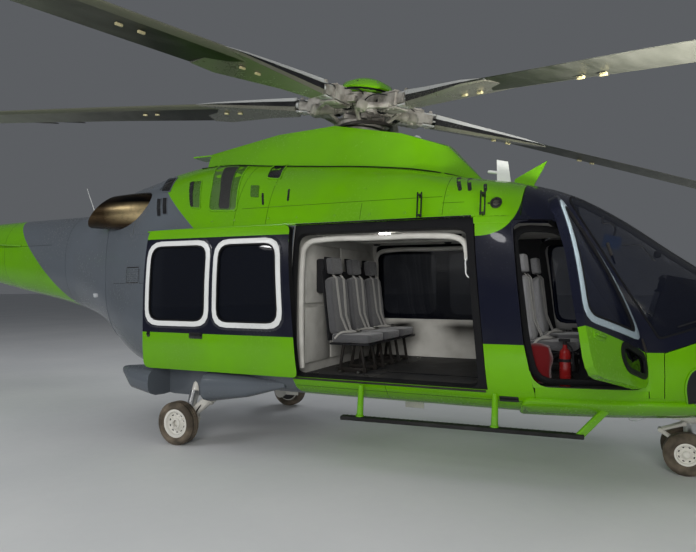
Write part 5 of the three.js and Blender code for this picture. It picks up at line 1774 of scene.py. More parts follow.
class HELICOPTER_OT_exhausts(bpy.types.Operator):
    """Gives the exhausts their heated steel, with its painted sheen, and a black plug inside their mouths,
    painted shade for the depth of the pipe
    """

    bl_idname = "helicopter.exhausts"
    bl_label = "Exhausts"

    def execute(self, context):
        for name, side in SIDES:
            wall = duct(side, 0, 0)
            bmesh.ops.solidify(wall, geom=wall.faces[:], thickness=EXHAUST_WALL)
            piece = keep(f"exhaust_pipe_{name}", "heated steel with painted sheen", wall, crease=50)
            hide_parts(f"exhaust_{name}")
            # Painted shade: a black plug closes the pipe just inside its mouth
            core = duct(side, EXHAUST_WALL + 0.001, EXHAUST_DEPTH)
            bmesh.ops.holes_fill(core, edges=[edge for edge in core.edges if edge.is_boundary])
            keep(f"exhaust_shade_plug_{name}", "black enamel", core, crease=50)
        return {"FINISHED"}


BAND_FRONT = -3.04
BAND_REAR = -3.74
BAND_LIFT = 0.004
TAIL_HUB = Vector((-7.4, 0, 3.27))


def joint_band(rows=12, count=72):
    """The band over the joint of boom and fuselage, all round the hull."""
    rings = []
    for i in range(rows + 1):
        x = BAND_FRONT + (BAND_REAR - BAND_FRONT) * i / rows
        half, bottom, waist, top, low, high = section(x)
        ring = []
        for a in angles(count):
            power, reach = (high, top - waist) if math.sin(a) > 0 else (low, waist - bottom)
            across, up = [math.copysign(abs(value) ** (2 / power), value)
                          for value in (math.cos(a), math.sin(a))]
            spot = Vector((x, half * across, waist + reach * up))
            ring.append(spot + hull_slope(spot)[0] * BAND_LIFT)
        rings.append(ring)
    bm = loft(rings)
    bmesh.ops.solidify(bm, geom=bm.faces[:], thickness=BAND_LIFT * 2)
    return bm


def static_wicks():
    """Thin wicks behind the tailplanes and the fin."""
    for side in (-1, 1):
        for y in (0.9, 1.25, 1.58):
            x = -6.12 - 0.09 * y / 1.65 - (0.62 - 0.19 * y / 1.65)
            yield rod((x + 0.01, side * y, 2.24), (x - 0.14, side * y, 2.235), 0.004, 6)
    for z in (3.35, 3.5, 3.62):
        x = -8.06 - (z - 3.3) * 0.346
        yield rod((x + 0.01, 0, z), (x - 0.12, 0, z - 0.03), 0.004, 6)


def in_side_view(radius, angle, y):
    """A place about the tail rotor's axle, y being across."""
    return TAIL_HUB + Vector((radius * math.cos(angle), y, radius * math.sin(angle)))


def tail_boss():
    """The tail rotor's boss with its three arms, links and bolts."""
    yield spun([(0, 0.06), (0.085, 0.06), (0.085, 0.09), (0.05, 0.12), (0, 0.125)], TAIL_HUB - ACROSS * 0.33,
               -ACROSS, 28)
    for a in angles(3, math.pi / 2):
        aside = Vector((math.sin(a), 0, -math.cos(a))) * 0.07
        yield rod(in_side_view(0.06, a, -0.38), in_side_view(0.26, a, -0.38), 0.036, 16, rim=0.005)
        yield rod(in_side_view(0.2, a, -0.4) + aside, in_side_view(0.1, a, -0.315) + aside, 0.01, 10)
        for radius in (0.13, 0.2):
            yield bolt(in_side_view(radius, a, -0.417), -ACROSS, 0.01, 0.007)


class HELICOPTER_OT_tail(bpy.types.Operator):
    """Adds the tail's rails, joint band, lamps, gearbox cover, rotor boss, wicks and bumper shoe"""

    bl_idname = "helicopter.tail"
    bl_label = "Tail fittings"

    def execute(self, context):
        keep("boom_rail", "green paint",
             [pipe([on_side(x, z, side, lift) for x, z, lift in
                    ((-5.56, 2.16, 0), (-5.45, 2.16, 0.035), (-4.95, 2.13, 0.035), (-4.84, 2.13, 0))], 0.012)
              for side in (-1, 1)])
        keep("boom_joint_band", "slate paint", joint_band())
        keep("side_lamps", "green glass",
             [spun([(0, -0.05), (0.022, -0.05), (0.03, -0.02), (0.03, 0.04), (0.018, 0.06), (0, 0.065)],
                   (-6.42, side * 1.652, 2.245), FRONT, 18) for side in (-1, 1)])
        keep("bumper_shoe", "seal rubber", rod((-7.2, 0, 1.96), (-7.27, 0, 1.885), 0.034, 16, rim=0.004),
             spun([(0, -0.03), (0.03, -0.03), (0.036, 0), (0.03, 0.024), (0, 0.03)], (-7.475, 0, 1.656),
                  (-0.28, 0, -0.31), 16))
        keep("static_wicks", "black enamel", static_wicks())
        keep("tail_beacon", "red glass",
             spun([(0, 0), (0.05, 0), (0.05, 0.04), (0.036, 0.085), (0, 0.095)], (-7.98, 0, 4.175), UP, 24))
        keep("tail_gearbox_cover", "bare steel",
             spun([(0, -0.125), (0.1, -0.125), (0.15, -0.112), (0.156, -0.09), (0.156, -0.06), (0, -0.06)],
                  TAIL_HUB,
                  -ACROSS),
             [bolt(in_side_view(0.13, a, y), ACROSS * y, 0.01, 0.008) for a in angles(12)
              for y in (0.118, -0.192)])
        keep("tail_rotor_boss", "hub metal", tail_boss(), body="tail_rotor_body")
        return {"FINISHED"}


# Landing gear, wheels and boarding steps

# Place of the wheel's middle on the port side, tyre's radius, rim's radius, width
MAIN_WHEEL = ((-1.57, 1.12, 0.215), 0.215, 0.142, 0.15)
NOSE_WHEEL = ((2.99, 0.17, 0.178), 0.178, 0.095, 0.125)
# Place of each groove across the tread, as a share of its width
TREAD_GROOVES = (-0.28, -0.1, 0.1, 0.28)
GROOVE_DEPTH = 0.007
GROOVE_WIDTH = 0.009
# Columns: share of the rim's radius, share of half the wheel's width, from the boss to the bead
RIM_SECTION = ((0.34, 0.66), (0.42, 0.44), (0.6, 0.3), (0.76, 0.52), (0.83, 0.94), (0.92, 0.995))
RIM_WIDTH = 0.36


def tyre_profile(radius, rim, width):
    """A tyre's section, from the inner bead round the tread: radius and place along the axle."""
    half = width / 2
    bend = width * 0.3
    left = [(rim + 0.001, -half * 0.74), (rim + 0.012, -half * 0.84), (radius - bend * 1.25, -half * 0.975)]
    left += [(radius - bend * drop, -half * out) for drop, out in
             ((1, 0.995), (0.62, 0.93), (0.28, 0.78), (0.08, 0.58), (0, 0.4))]
    tread = []
    for share in TREAD_GROOVES:
        middle = share * width
        tread += [(radius, middle - GROOVE_WIDTH / 2), (radius - GROOVE_DEPTH, middle - GROOVE_WIDTH / 3),
                  (radius - GROOVE_DEPTH, middle + GROOVE_WIDTH / 3), (radius, middle + GROOVE_WIDTH / 2)]
    return left + tread + [(r, -a) for r, a in reversed(left)]


def rim_profile(rim, width, bore):
    """A wheel's section: bead flanges at both sides, a dished web and the bore's boss."""
    half = width * RIM_WIDTH
    left = [(bore, -half * 0.62), *[(rim * r, -half * a) for r, a in RIM_SECTION],
            (rim - 0.0006, -half * 0.95)]
    return left + [(r, -a) for r, a in reversed(left)]


def around(centre, radius, angle, along):
    """A place beside a wheel: turned round the axle, and along it."""
    return Vector((centre[0] + radius * math.cos(angle), along, centre[2] + radius * math.sin(angle)))


def lay_tyre(node, centre, radius, rim, width):
    piece = keep(node + "_rubber", "tyre rubber", spun(tyre_profile(radius, rim, width), centre, ACROSS, 64),
                 body=NODES[node]["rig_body"], crease=40)
    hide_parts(node)


def wheel_holes(centre, reach, count, out, radius):
    """Lightening holes in the wheel's web, as shallow black plugs: painted shade in the holes."""
    for a in angles(count, math.pi / count):
        for way in (-1, 1):
            yield rod(*[around(centre, reach, a, centre[1] + way * y) for y in (out - 0.012, out + 0.002)],
                      radius, 14)


def main_hub(centre, rim, width):
    """A main wheel's hub with its bolts and collars."""
    yield spun(rim_profile(rim, width, 0.034), centre, ACROSS, 48)
    for way in (-1, 1):
        for a in angles(10):
            yield bolt(around(centre, rim * 0.5, a, centre[1] + way * width * RIM_WIDTH * 0.34), ACROSS * way,
                       0.009, 0.01)
        yield spun([(0.036, 0), (0.05, 0), (0.05, 0.012), (0.036, 0.016)],
                   Vector(centre) + ACROSS * (way * width * RIM_WIDTH * 0.6), ACROSS * way, 28)


def nose_hubs(x, y, z, rim, width):
    """Both nose wheels' hubs with their bolts, caps and axle."""
    for side in (-1, 1):
        centre = (x, side * y, z)
        yield spun(rim_profile(rim, width, 0.019), centre, ACROSS, 48)
        for a in angles(8):
            yield bolt(around(centre, rim * 0.52, a, side * (y + width * RIM_WIDTH * 0.34)), ACROSS * side,
                       0.008, 0.01)
        yield spun([(0, 0), (0.03, 0), (0.03, 0.016), (0.022, 0.024), (0, 0.026)],
                   (x, side * (y + width * RIM_WIDTH * 0.6), z), ACROSS * side, 24)
    yield pin((x, 0, z), y, 0.0195, 16)


class HELICOPTER_OT_wheels(bpy.types.Operator):
    """Replaces the wheels with grooved tyres and dished hubs with bolts and valves"""

    bl_idname = "helicopter.wheels"
    bl_label = "Wheels"

    def execute(self, context):
        for name, side in SIDES:
            (x, y, z), radius, rim, width = MAIN_WHEEL
            centre, body = (x, side * y, z), f"main_wheel_{name}"
            lay_tyre(f"main_tyre_{name}", centre, radius, rim, width)
            piece = keep(f"main_hub_{name}", "white enamel", main_hub(centre, rim, width), body=body)
            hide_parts(f"main_rim_{name}")
            # Painted shade: black plugs stand for the dark inside of the lightening holes
            keep(f"main_hub_holes_{name}", "black enamel",
                 wheel_holes(centre, rim * 0.685, 10, width * RIM_WIDTH * 0.36, 0.013), body=body)
            spot = around(centre, rim * 0.72, 0.5, side * (y + width * 0.16))
            keep(f"main_valve_{name}", "brass fitting", rod(spot, spot + Vector((0.01, side * 0.022, 0.01)),
                                                            0.005, 10),
                 body=body)

            (x, y, z), radius, rim, width = NOSE_WHEEL
            centre = (x, side * y, z)
            lay_tyre(f"nose_tyre_{name}", centre, radius, rim, width)
            keep(f"nose_hub_holes_{name}", "black enamel",
                 wheel_holes(centre, rim * 0.69, 8, width * RIM_WIDTH * 0.38, 0.01), body="nose_wheels")
        piece = keep("nose_hubs", "white enamel", nose_hubs(x, y, z, rim, width), body="nose_wheels")
        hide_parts("nose_rims")
        return {"FINISHED"}


NOSE_LEG = 3.035


def nose_leg_collars():
    """The nose leg's collars, cross tube, braces and brackets."""
    for z0, z1, r in ((0.425, 0.47, 0.076), (0.5, 0.515, 0.07), (0.56, 0.575, 0.07), (0.6, 0.64, 0.078)):
        yield spun([(0, z0), (r - 0.004, z0), (r, z0 + 0.004), (r, z1 - 0.004), (r - 0.004, z1), (0, z1)],
                   (NOSE_LEG, 0, 0))
    yield pin((NOSE_LEG, 0, 0.68), 0.226, 0.046, 24)
    for side in (-1, 1):
        yield rod((NOSE_LEG - 0.02, side * 0.1, 0.66), (2.9, side * 0.17, 0.52), 0.02, 14)
        yield slab(2.87, 2.93, side * 0.185, 0.012, 0.49, 0.55, 0.004)
        yield slab(NOSE_LEG - 0.115, NOSE_LEG - 0.03, side * 0.045, 0.014, 0.435, 0.485, 0.005)


def link_arm(start, end, wide, thick):
    """A tapering bar between two pins."""
    yield rod(start, end, wide * 0.62, 10, far_radius=thick * 0.62)
    yield pin(start, 0.014, wide * 0.7, 18, rim=0.003)
    yield pin(end, 0.014, thick * 0.9, 18, rim=0.003)


def torque_links():
    """The two pairs of links behind the nose leg, their pins and the axle's block."""
    for y in (-0.034, 0.034):
        for start in ((NOSE_LEG - 0.05, y, 0.4), (2.94, y, 0.225)):
            yield link_arm(start, (2.805, y * 0.5, 0.33), 0.03, 0.018)
    yield pin((2.803, 0, 0.33), 0.04, 0.02, 20, rim=0.003)
    yield pin((2.803, 0, 0.33), 0.05, 0.01, 6)
    yield pin((2.945, 0, 0.222), 0.06, 0.02, 20, rim=0.003)
    yield pin((2.99, 0, 0.178), 0.1, 0.04, 24, rim=0.004)
    yield slab(2.935, 3.085, 0, 0.05, 0.15, 0.262, 0.018)


def main_leg_collars(x, side, z):
    """A main leg's rings along its beam, and the flange beside its wheel."""
    shoulder, heel = Vector((x + 0.42, side * 0.76, 0.64)), Vector((x + 0.02, side * 0.93, z + 0.06))
    for share, radius in ((0.1, 0.066), (0.52, 0.062), (0.6, 0.066), (0.94, 0.062)):
        yield pin(shoulder.lerp(heel, share), 0.016, radius, 24, (heel - shoulder).normalized(), 0.004)
    yield rod((x, side * 0.86, z), (x, side * 0.905, z), 0.075, 28, rim=0.005)
    for a in angles(8):
        yield bolt(around((x, 0, z), 0.058, a, side * 0.858), -ACROSS * side, 0.008, 0.008)


class HELICOPTER_OT_gear(bpy.types.Operator):
    """Adds the legs' collars, pistons, links, brakes and the ribs of the bay doors"""

    bl_idname = "helicopter.gear"
    bl_label = "Landing gear"

    def execute(self, context):
        keep("nose_leg_collars", "white enamel", nose_leg_collars())
        keep("nose_drag_brace", "bare steel",
             [rod((NOSE_LEG + 0.02, y, 0.6), (3.22, y, 0.7), 0.022, 16) for y in (-0.03, 0.03)],
             pin((3.21, 0, 0.7), 0.06, 0.018),
             pipe([(NOSE_LEG + 0.07, 0.03, 0.62), (NOSE_LEG + 0.1, 0.05, 0.52),
                   (NOSE_LEG + 0.08, 0.04, 0.45)], 0.007))
        keep("nose_piston", "polished steel",
             spun([(0, 0.262), (0.054, 0.262), (0.058, 0.268), (0.058, 0.276), (0.0535, 0.28),
                   (0.0535, 0.398),
                   (0.06, 0.402), (0.06, 0.412), (0, 0.4155)], (NOSE_LEG, 0, 0), UP, 36),
             body="nose_steering")
        keep("nose_torque_links", "white enamel", torque_links(), body="nose_steering")
        keep("tow_fitting", "bare steel", pin((2.905, 0, 0.15), 0.03, 0.012, 14),
             [slab(2.895, 2.95, y, 0.006, 0.138, 0.164, 0.003) for y in (-0.03, 0.03)], body="nose_steering")

        x, _, z = MAIN_WHEEL[0]
        for name, side in SIDES:
            keep(f"main_leg_collars_{name}", "white enamel", main_leg_collars(x, side, z))
            top, foot = Vector((x + 0.01, side * 0.78, 0.745)), Vector((x + 0.01, side * 0.95, z + 0.09))
            keep(f"main_piston_{name}", "polished steel",
                 rod(top.lerp(foot, 0.56), top.lerp(foot, 0.95), 0.0455, 24))
            keep(f"brake_disc_{name}", "dark metal",
                 spun([(0.07, -0.005), (0.128, -0.005), (0.128, 0.005), (0.07, 0.005)], (x, side * 1.058, z),
                      ACROSS, 48),
                 body=f"main_wheel_{name}")
            hose = [(x + 0.1, side * 1.01, z + 0.04), (x + 0.12, side * 0.95, z + 0.13),
                    (x + 0.2, side * 0.86, z + 0.24), (x + 0.3, side * 0.8, z + 0.36)]
            keep(f"brake_caliper_{name}", "dark metal",
                 slab(x + 0.07, x + 0.135, side * 1.02, 0.018, z - 0.04, z + 0.04, 0.008), pipe(hose, 0.007))
        keep("bay_door_ribs", "white enamel",
             [slab(x, x + 0.018, side * 0.206, 0.004, 0.49, 0.64, 0.002) for side in (-1, 1)
              for x in (2.93, 3.06, 3.18)])
        return {"FINISHED"}


STEP_LINE = (Vector((0.25, -1.14, 0.435)), Vector((2.24, -1.02, 0.435)))
STEP_POSTS = ((1.568, -1.06), (0.42, -1.13))
STEP_BRACE = (Vector((2.2, -1.02, 0.43)), Vector((2.4, -0.9, 0.64)))


def beam(size, rim, start, end, turn):
    """A bar with well rounded edges, between two places."""
    bar = cube(size)
    soften(bar, bar.edges[:], rim, 3)
    return moved([bar], Matrix.Translation((start + end) / 2) @ turn)


def step_tread(back, front):
    """The starboard step with its grip ribs."""
    along = front - back
    yield beam((along.length, 0.084, 0.034), 0.008, back, front, about(math.atan2(along.y, along.x)))
    ribs = sizes().tread_ribs
    for k in range(ribs):
        yield pin(back.lerp(front, (k + 1) / (ribs + 1)) + UP * 0.0175, 0.032, 0.0035, 6)


def step_struts(start, end):
    """The starboard step's two posts and its front brace."""
    for x, y in STEP_POSTS:
        foot = Vector((x, y, 0.424))
        yield rod(foot, (x, y + 0.035, 0.72), 0.03, 20, far_radius=0.025, rim=0.003)
        yield rod(foot + UP * 0.028, foot + UP * 0.044, 0.036, 20, rim=0.004)
    lean = (end - start).to_track_quat("Z", "X").to_matrix().to_4x4()
    yield beam((0.06, 0.034, (end - start).length), 0.01, start, end, lean)


class HELICOPTER_OT_steps(bpy.types.Operator):
    """Finishes the boarding steps: painted struts and dark ribbed treads"""

    bl_idname = "helicopter.steps"
    bl_label = "Boarding steps"

    def execute(self, context):
        for name, side in SIDES:
            flip = Matrix.Diagonal((1, -side, 1, 1))
            step = keep(f"step_tread_{name}", "grip tread", step_tread(*STEP_LINE), move=flip)
            keep(f"step_struts_{name}", "green paint", step_struts(*STEP_BRACE), move=flip)
            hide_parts(f"step_{name}")
        return {"FINISHED"}


# Cabin and cockpit

PILOT_SEAT = (1.96, 0.43)
CABIN_SEAT_X = 0.12
CABIN_SEATS = (-0.48, 0, 0.48)
SCREEN_STAY = ((2.51, -0.1, 1.952), (2.58, -0.1, 1.951), (2.654, -0.1, 1.948), (2.71, -0.1, 1.88),
               (2.771, -0.1, 1.805))
# The padded lining round the cabin doorway
ARCH = ((1.328, 1.82), (1.322, 1.9), (1.295, 1.98), (1.225, 2.025), (1.1, 2.042), (0.45, 2.046),
        (-0.08, 2.042), (-0.19, 2.02), (-0.24, 1.96), (-0.248, 1.85), (-0.248, 1.3), (-0.248, 0.79))
# The grab handle beside the cabin doorway
DOORWAY_HANDLE = ((1.362, 1.835), (1.338, 1.815), (1.334, 1.745), (1.345, 1.675), (1.372, 1.655))
# Columns: piece, finish, its boxes by low corner, high corner and rounding
CABIN_BOXES = (
    ("seat_rails", "bare steel", [((0.006, -0.7, 0.752), (0.036, 0.7, 0.775), 0.004),
                                  ((0.2, -0.7, 0.752), (0.23, 0.7, 0.775), 0.004)]),
    ("ceiling_panels", "cabin lining", [((-0.25, -0.7, 2.086), (1.38, 0.7, 2.104), 0.012),
                                        ((-0.2, -0.62, 2.066), (0.52, -0.3, 2.09), 0.014),
                                        ((0.62, -0.62, 2.07), (1.3, -0.34, 2.09), 0.014),
                                        ((-0.2, 0.3, 2.066), (1.3, 0.62, 2.09), 0.014)]),
    ("ceiling_lights", "ceiling light", [((0.47, -0.8, 2.06), (0.55, -0.7, 2.078), 0.006)]),
    ("bulkhead_panels", "cabin lining", [((-0.304, y0, z0), (-0.276, y1, z1), 0.013) for y0, y1, z0, z1 in
                                         ((-0.82, -0.3, 0.84, 1.38), (-0.27, 0.27, 0.84, 1.38),
                                          (0.3, 0.82, 0.84, 1.38), (-0.82, -0.05, 1.42, 2),
                                          (-0.02, 0.82, 1.42, 2))]),
    ("bulkhead_lockers", "black plastic", [((-0.276, -0.62, 1.52), (-0.19, -0.34, 1.86), 0.02),
                                           ((-0.276, 0.18, 1.5), (-0.18, 0.56, 1.8), 0.02)]),
    ("cabin_mats", "floor mat", [((-0.27, -0.9, 0.746), (0.41, 0.9, 0.7515), 0.002),
                                 ((1.39, -0.9, 0.746), (1.5, 0.9, 0.7515), 0.002)]),
)


def swollen(pad, amount=1):
    """Crowns a cushion: its faces bulge between pulled-in corners."""
    low = Vector([min(v.co[k] for v in pad.verts) for k in range(3)])
    high = Vector([max(v.co[k] for v in pad.verts) for k in range(3)])
    middle, half = (low + high) / 2, (high - low) / 2
    for vert in pad.verts:
        share = Vector([(vert.co[k] - middle[k]) / half[k] for k in range(3)])
        for k in range(3):
            a, b = share[(k + 1) % 3], share[(k + 2) % 3]
            crown = (1 - a * a) * (1 - b * b)
            vert.co[k] = middle[k] + half[k] * share[k] * (1 - 0.1 * amount * (1 - crown))


def keep_pad(name, finish, pad, move=None):
    """A finished pad, its mesh smoothed once more by subdivision."""
    piece = keep(name, finish, pad, move=move, crease=80)
    smooth = piece.modifiers.new("Smooth", "SUBSURF")
    smooth.levels = smooth.render_levels = 1
    return piece


def cushion(name, finish, low, high, channels=(), move=None):
    """A stuffed pad with a crowned face and sewn channels across it."""
    low, high = Vector(low), Vector(high)
    bm = cube(high - low, (low + high) / 2)
    bmesh.ops.subdivide_edges(bm, edges=bm.edges[:], cuts=11, use_grid_fill=True)
    thin = min(range(3), key=lambda k: (high - low)[k])
    middle = (low[thin] + high[thin]) / 2
    for axis, place in channels:
        for vert in bm.verts:
            near = abs(vert.co[axis] - place)
            if near < 0.03:
                vert.co[thin] = middle + (vert.co[thin] - middle) * (0.8 + 0.2 * near / 0.03)
    swollen(bm)
    for _ in range(2):
        bmesh.ops.smooth_vert(bm, verts=bm.verts, factor=0.5, use_axis_x=True, use_axis_y=True,
                              use_axis_z=True)
    piece = keep_pad(name, finish, bm, move)
    return piece


def strap(points, wide=0.045, thick=0.004):
    """A flat webbing strap through points, its width across the seat."""
    half = ACROSS * (wide / 2)
    rows = []
    for i, point in enumerate(points):
        ahead = points[min(i + 1, len(points) - 1)] - points[max(i - 1, 0)]
        out = Vector((ahead.z, 0, -ahead.x)).normalized() * thick
        rows.append([point - half, point + half, point + half + out, point - half + out])
    return loft(rows, closed=True)


def seat_shell(x, y, lean):
    for half, low, high in ((0.215, -0.03, 0.66), (0.12, 0.64, 0.8)):
        yield moved([slab(-0.052, -0.036, 0, half, low, high, 0.007)], lean)
    yield slab(x - 0.21, x + 0.21, y, 0.215, 1.02, 1.038, 0.006)


def seat_frame(x, y):
    for middle in (y - 0.135, y + 0.135):
        yield slab(x - 0.15, x + 0.15, middle, 0.012, 0.752, 0.8, 0.005)
        for dx in (-0.13, 0.13):
            yield rod((x + dx, middle, 0.78), (x + dx * 0.7, middle, 1.025), 0.016, 14)


def harness(x, y, lean):
    """Shoulder straps over the back and lap belts round the cushion."""
    for side in (-1, 1):
        back = [lean @ Vector((out, side * aside, z)) for out, aside, z in
                ((0.02, 0.085, 0.612), (0.05, 0.083, 0.57), (0.05, 0.075, 0.4), (0.05, 0.06, 0.2))]
        lap = [Vector((x - dx, y + side * aside, z)) for dx, aside, z in
               ((0.095, 0.045, 1.15), (0.02, 0.03, 1.139), (0.15, 0.222, 1.08), (0.1, 0.19, 1.135),
                (0.03, 0.09, 1.139), (0.005, 0.02, 1.139))]
        yield strap(back + lap[:2])
        yield pipe(lap[2:], 0.01)


def seat_set(x, y, label, back_finish):
    """One seat: cushion, back pad, head rest, frame and harness."""
    base = cushion(f"seat_cushion_{label}", "seat cloth", (x - 0.215, y - 0.225, 1.035),
                   (x + 0.218, y + 0.225, 1.128),
                   ((0, x), (1, y - 0.13), (1, y + 0.13)))
    lean = Matrix.Translation((x - 0.18, y, 1.09)) @ Matrix.Rotation(math.radians(-6.3), 4, "Y")
    cushion(f"seat_back_{label}", back_finish, (-0.04, -0.21, 0.01), (0.042, 0.21, 0.6),
            ((2, 0.2), (2, 0.4), (1, -0.13), (1, 0.13)), lean)
    cushion(f"seat_head_rest_{label}", back_finish, (-0.036, -0.13, 0.62), (0.038, 0.13, 0.79), move=lean)
    keep(f"seat_shell_{label}", "black plastic", seat_shell(x, y, lean))
    keep(f"seat_frame_{label}", "dark metal", seat_frame(x, y))
    keep(f"harness_{label}", "webbing", harness(x, y, lean), crease=60)
    keep(f"buckle_{label}", "bare steel",
         spun([(0, 0), (0.032, 0), (0.034, 0.01), (0.026, 0.018), (0, 0.02)], (x, y, 1.137), UP, 24))
    return base


class HELICOPTER_OT_cabin(bpy.types.Operator):
    """Builds the seats, lining panels, ceiling light, lockers, mats and floor rings of the cabin"""

    bl_idname = "helicopter.cabin"
    bl_label = "Cabin"

    def execute(self, context):
        for number, y in enumerate(CABIN_SEATS):
            piece = seat_set(CABIN_SEAT_X, y, f"cabin_{number + 1}", "seat cloth")
            if number == 0:
                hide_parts("cabin_seats")
        for name, finish, boxes in CABIN_BOXES:
            keep(name, finish, [block(*box) for box in boxes])
        keep("ceiling_vents", "black plastic",
             [spun([(0, 0), (0.04, 0), (0.04, 0.012), (0.03, 0.02), (0, 0.012)], (x, y, 2.07), -UP, 20)
              for x in (-0.05, 0.78, 1.12) for y in (-0.46, 0.46)])
        keep("doorway_padding", "cabin lining",
             [pipe([on_side(x, z, side, -0.112) for x, z in ARCH], 0.026, 3) for side in (-1, 1)])
        keep("doorway_handles", "white trim",
             [pipe([on_side(x, z, side, -0.035) for x, z in DOORWAY_HANDLE], 0.006) for side in (-1, 1)])
        keep("floor_rings", "bare steel",
             [spun([(0.016, -0.003), (0.026, -0.003), (0.026, 0.003), (0.016, 0.003)], (x, y, 0.755), UP, 18)
              for x in (-0.18, 0.34, 1.44) for y in (-0.8, -0.32, 0.32, 0.8)])
        return {"FINISHED"}


PANEL_FOOT = Vector((2.69, 0, 1.15))
PANEL_SLOPE = (Vector((2.84, 0, 1.672)) - PANEL_FOOT).normalized()
PANEL_OUT = Vector((-PANEL_SLOPE.z, 0, PANEL_SLOPE.x))
PANEL_FACE = Matrix.Translation(PANEL_FOOT) @ Matrix((ACROSS, PANEL_SLOPE, PANEL_OUT)).transposed().to_4x4()
# Columns: middle, half width, low and high edge and height of a bezel, then half width, low and high
# edge of its screen
BEZELS = (
    *[(y, 0.115, 0.16, 0.42, 0.014, 0.095, 0.195, 0.4) for y in (-0.42, -0.16, 0.16, 0.42)],
    *[(y, 0.045, 0.03, 0.13, 0.012, 0.036, 0.04, 0.12) for y in (-0.05, 0.05)],
)


def controls(side):
    """A pilot's stick, side lever and pedals."""
    y = side * 0.43
    yield pipe([(2.42, y, 0.755), (2.4, y, 0.95), (2.33, y, 1.1), (2.32, y, 1.2)], 0.013)
    yield rod((2.32, y, 1.17), (2.315, y, 1.3), 0.022, 16, far_radius=0.026, rim=0.006)
    y = side * 0.16
    yield pipe([(1.75, y, 0.8), (1.95, y, 0.93), (2.16, y, 1.08)], 0.013)
    yield rod((2.1, y, 1.04), (2.2, y, 1.11), 0.021, 16, rim=0.005)
    for y in (side * 0.33, side * 0.53):
        yield slab(2.6, 2.625, y, 0.045, 0.82, 0.94, 0.008)
        yield rod((2.62, y, 0.86), (2.76, y, 0.88), 0.012, 10)


def panel_knobs():
    """Knobs under the screens and on the console."""
    for y in (-0.42, -0.16, 0.16, 0.42):
        for k in range(6):
            spot = PANEL_FACE @ Vector((y - 0.085 + 0.034 * k, 0.178, 0.01))
            yield rod(spot, spot + PANEL_OUT * 0.01, 0.006, 10)
    for x in (2.2, 2.32, 2.44, 2.56):
        for y in (-0.07, 0, 0.07):
            yield rod((x, y, 1.048), (x, y, 1.066), 0.01, 12, rim=0.002)


def instruments():
    """Screens, bezels and knobs on the sloping face of the panel, and the glare shield's rolled edge."""
    keep("panel_bezels", "black plastic",
         [block((y - half, low, -0.01), (y + half, high, top), 0.006, PANEL_FACE)
          for y, half, low, high, top, _, _, _ in BEZELS])
    keep("panel_screens", "display glass",
         [block((y - half, low, 0), (y + half, high, top + 0.0015), 0.001, PANEL_FACE)
          for y, _, _, _, top, half, low, high in BEZELS])
    keep("panel_knobs", "dark metal", panel_knobs())
    keep("console_units", "black enamel",
         [slab(2.17 + 0.13 * k, 2.28 + 0.13 * k, 0, 0.105, 1.047, 1.057, 0.003) for k in range(4)])
    keep("glare_shield_roll", "screen cover",
         pipe([(2.836, y, z) for y, z in ((-0.555, 1.655), (-0.3, 1.668), (0.3, 1.668), (0.555, 1.655))],
              0.014))


BOTTLE = Vector((2.08, -0.735, 0))


def bottle_valve():
    """The fire bottle's valve, hose and clamps."""
    yield rod(BOTTLE + UP * 1.1, BOTTLE + UP * 1.14, 0.016, 14)
    yield slab(2.03, 2.12, BOTTLE.y, 0.01, 1.13, 1.155, 0.006)
    yield pipe([(2.09, -0.735, 1.12), (2.13, -0.745, 1.08), (2.145, -0.745, 0.98), (2.14, -0.745, 0.9)],
               0.008)
    for z in (0.82, 0.98):
        yield spun([(0.0465, -0.012), (0.0505, -0.012), (0.0505, 0.012), (0.0465, 0.012)], BOTTLE + UP * z,
                   UP, 28)


def kit_bag():
    """A soft bag with creased sides."""
    bag = cube((0.22, 0.15, 0.34))
    bmesh.ops.subdivide_edges(bag, edges=bag.edges[:], cuts=7, use_grid_fill=True)
    swollen(bag, 1.6)
    for vert in bag.verts:
        vert.co.x += 0.012 * math.sin(vert.co.z * 31) * math.cos(vert.co.y * 24)
    return bag


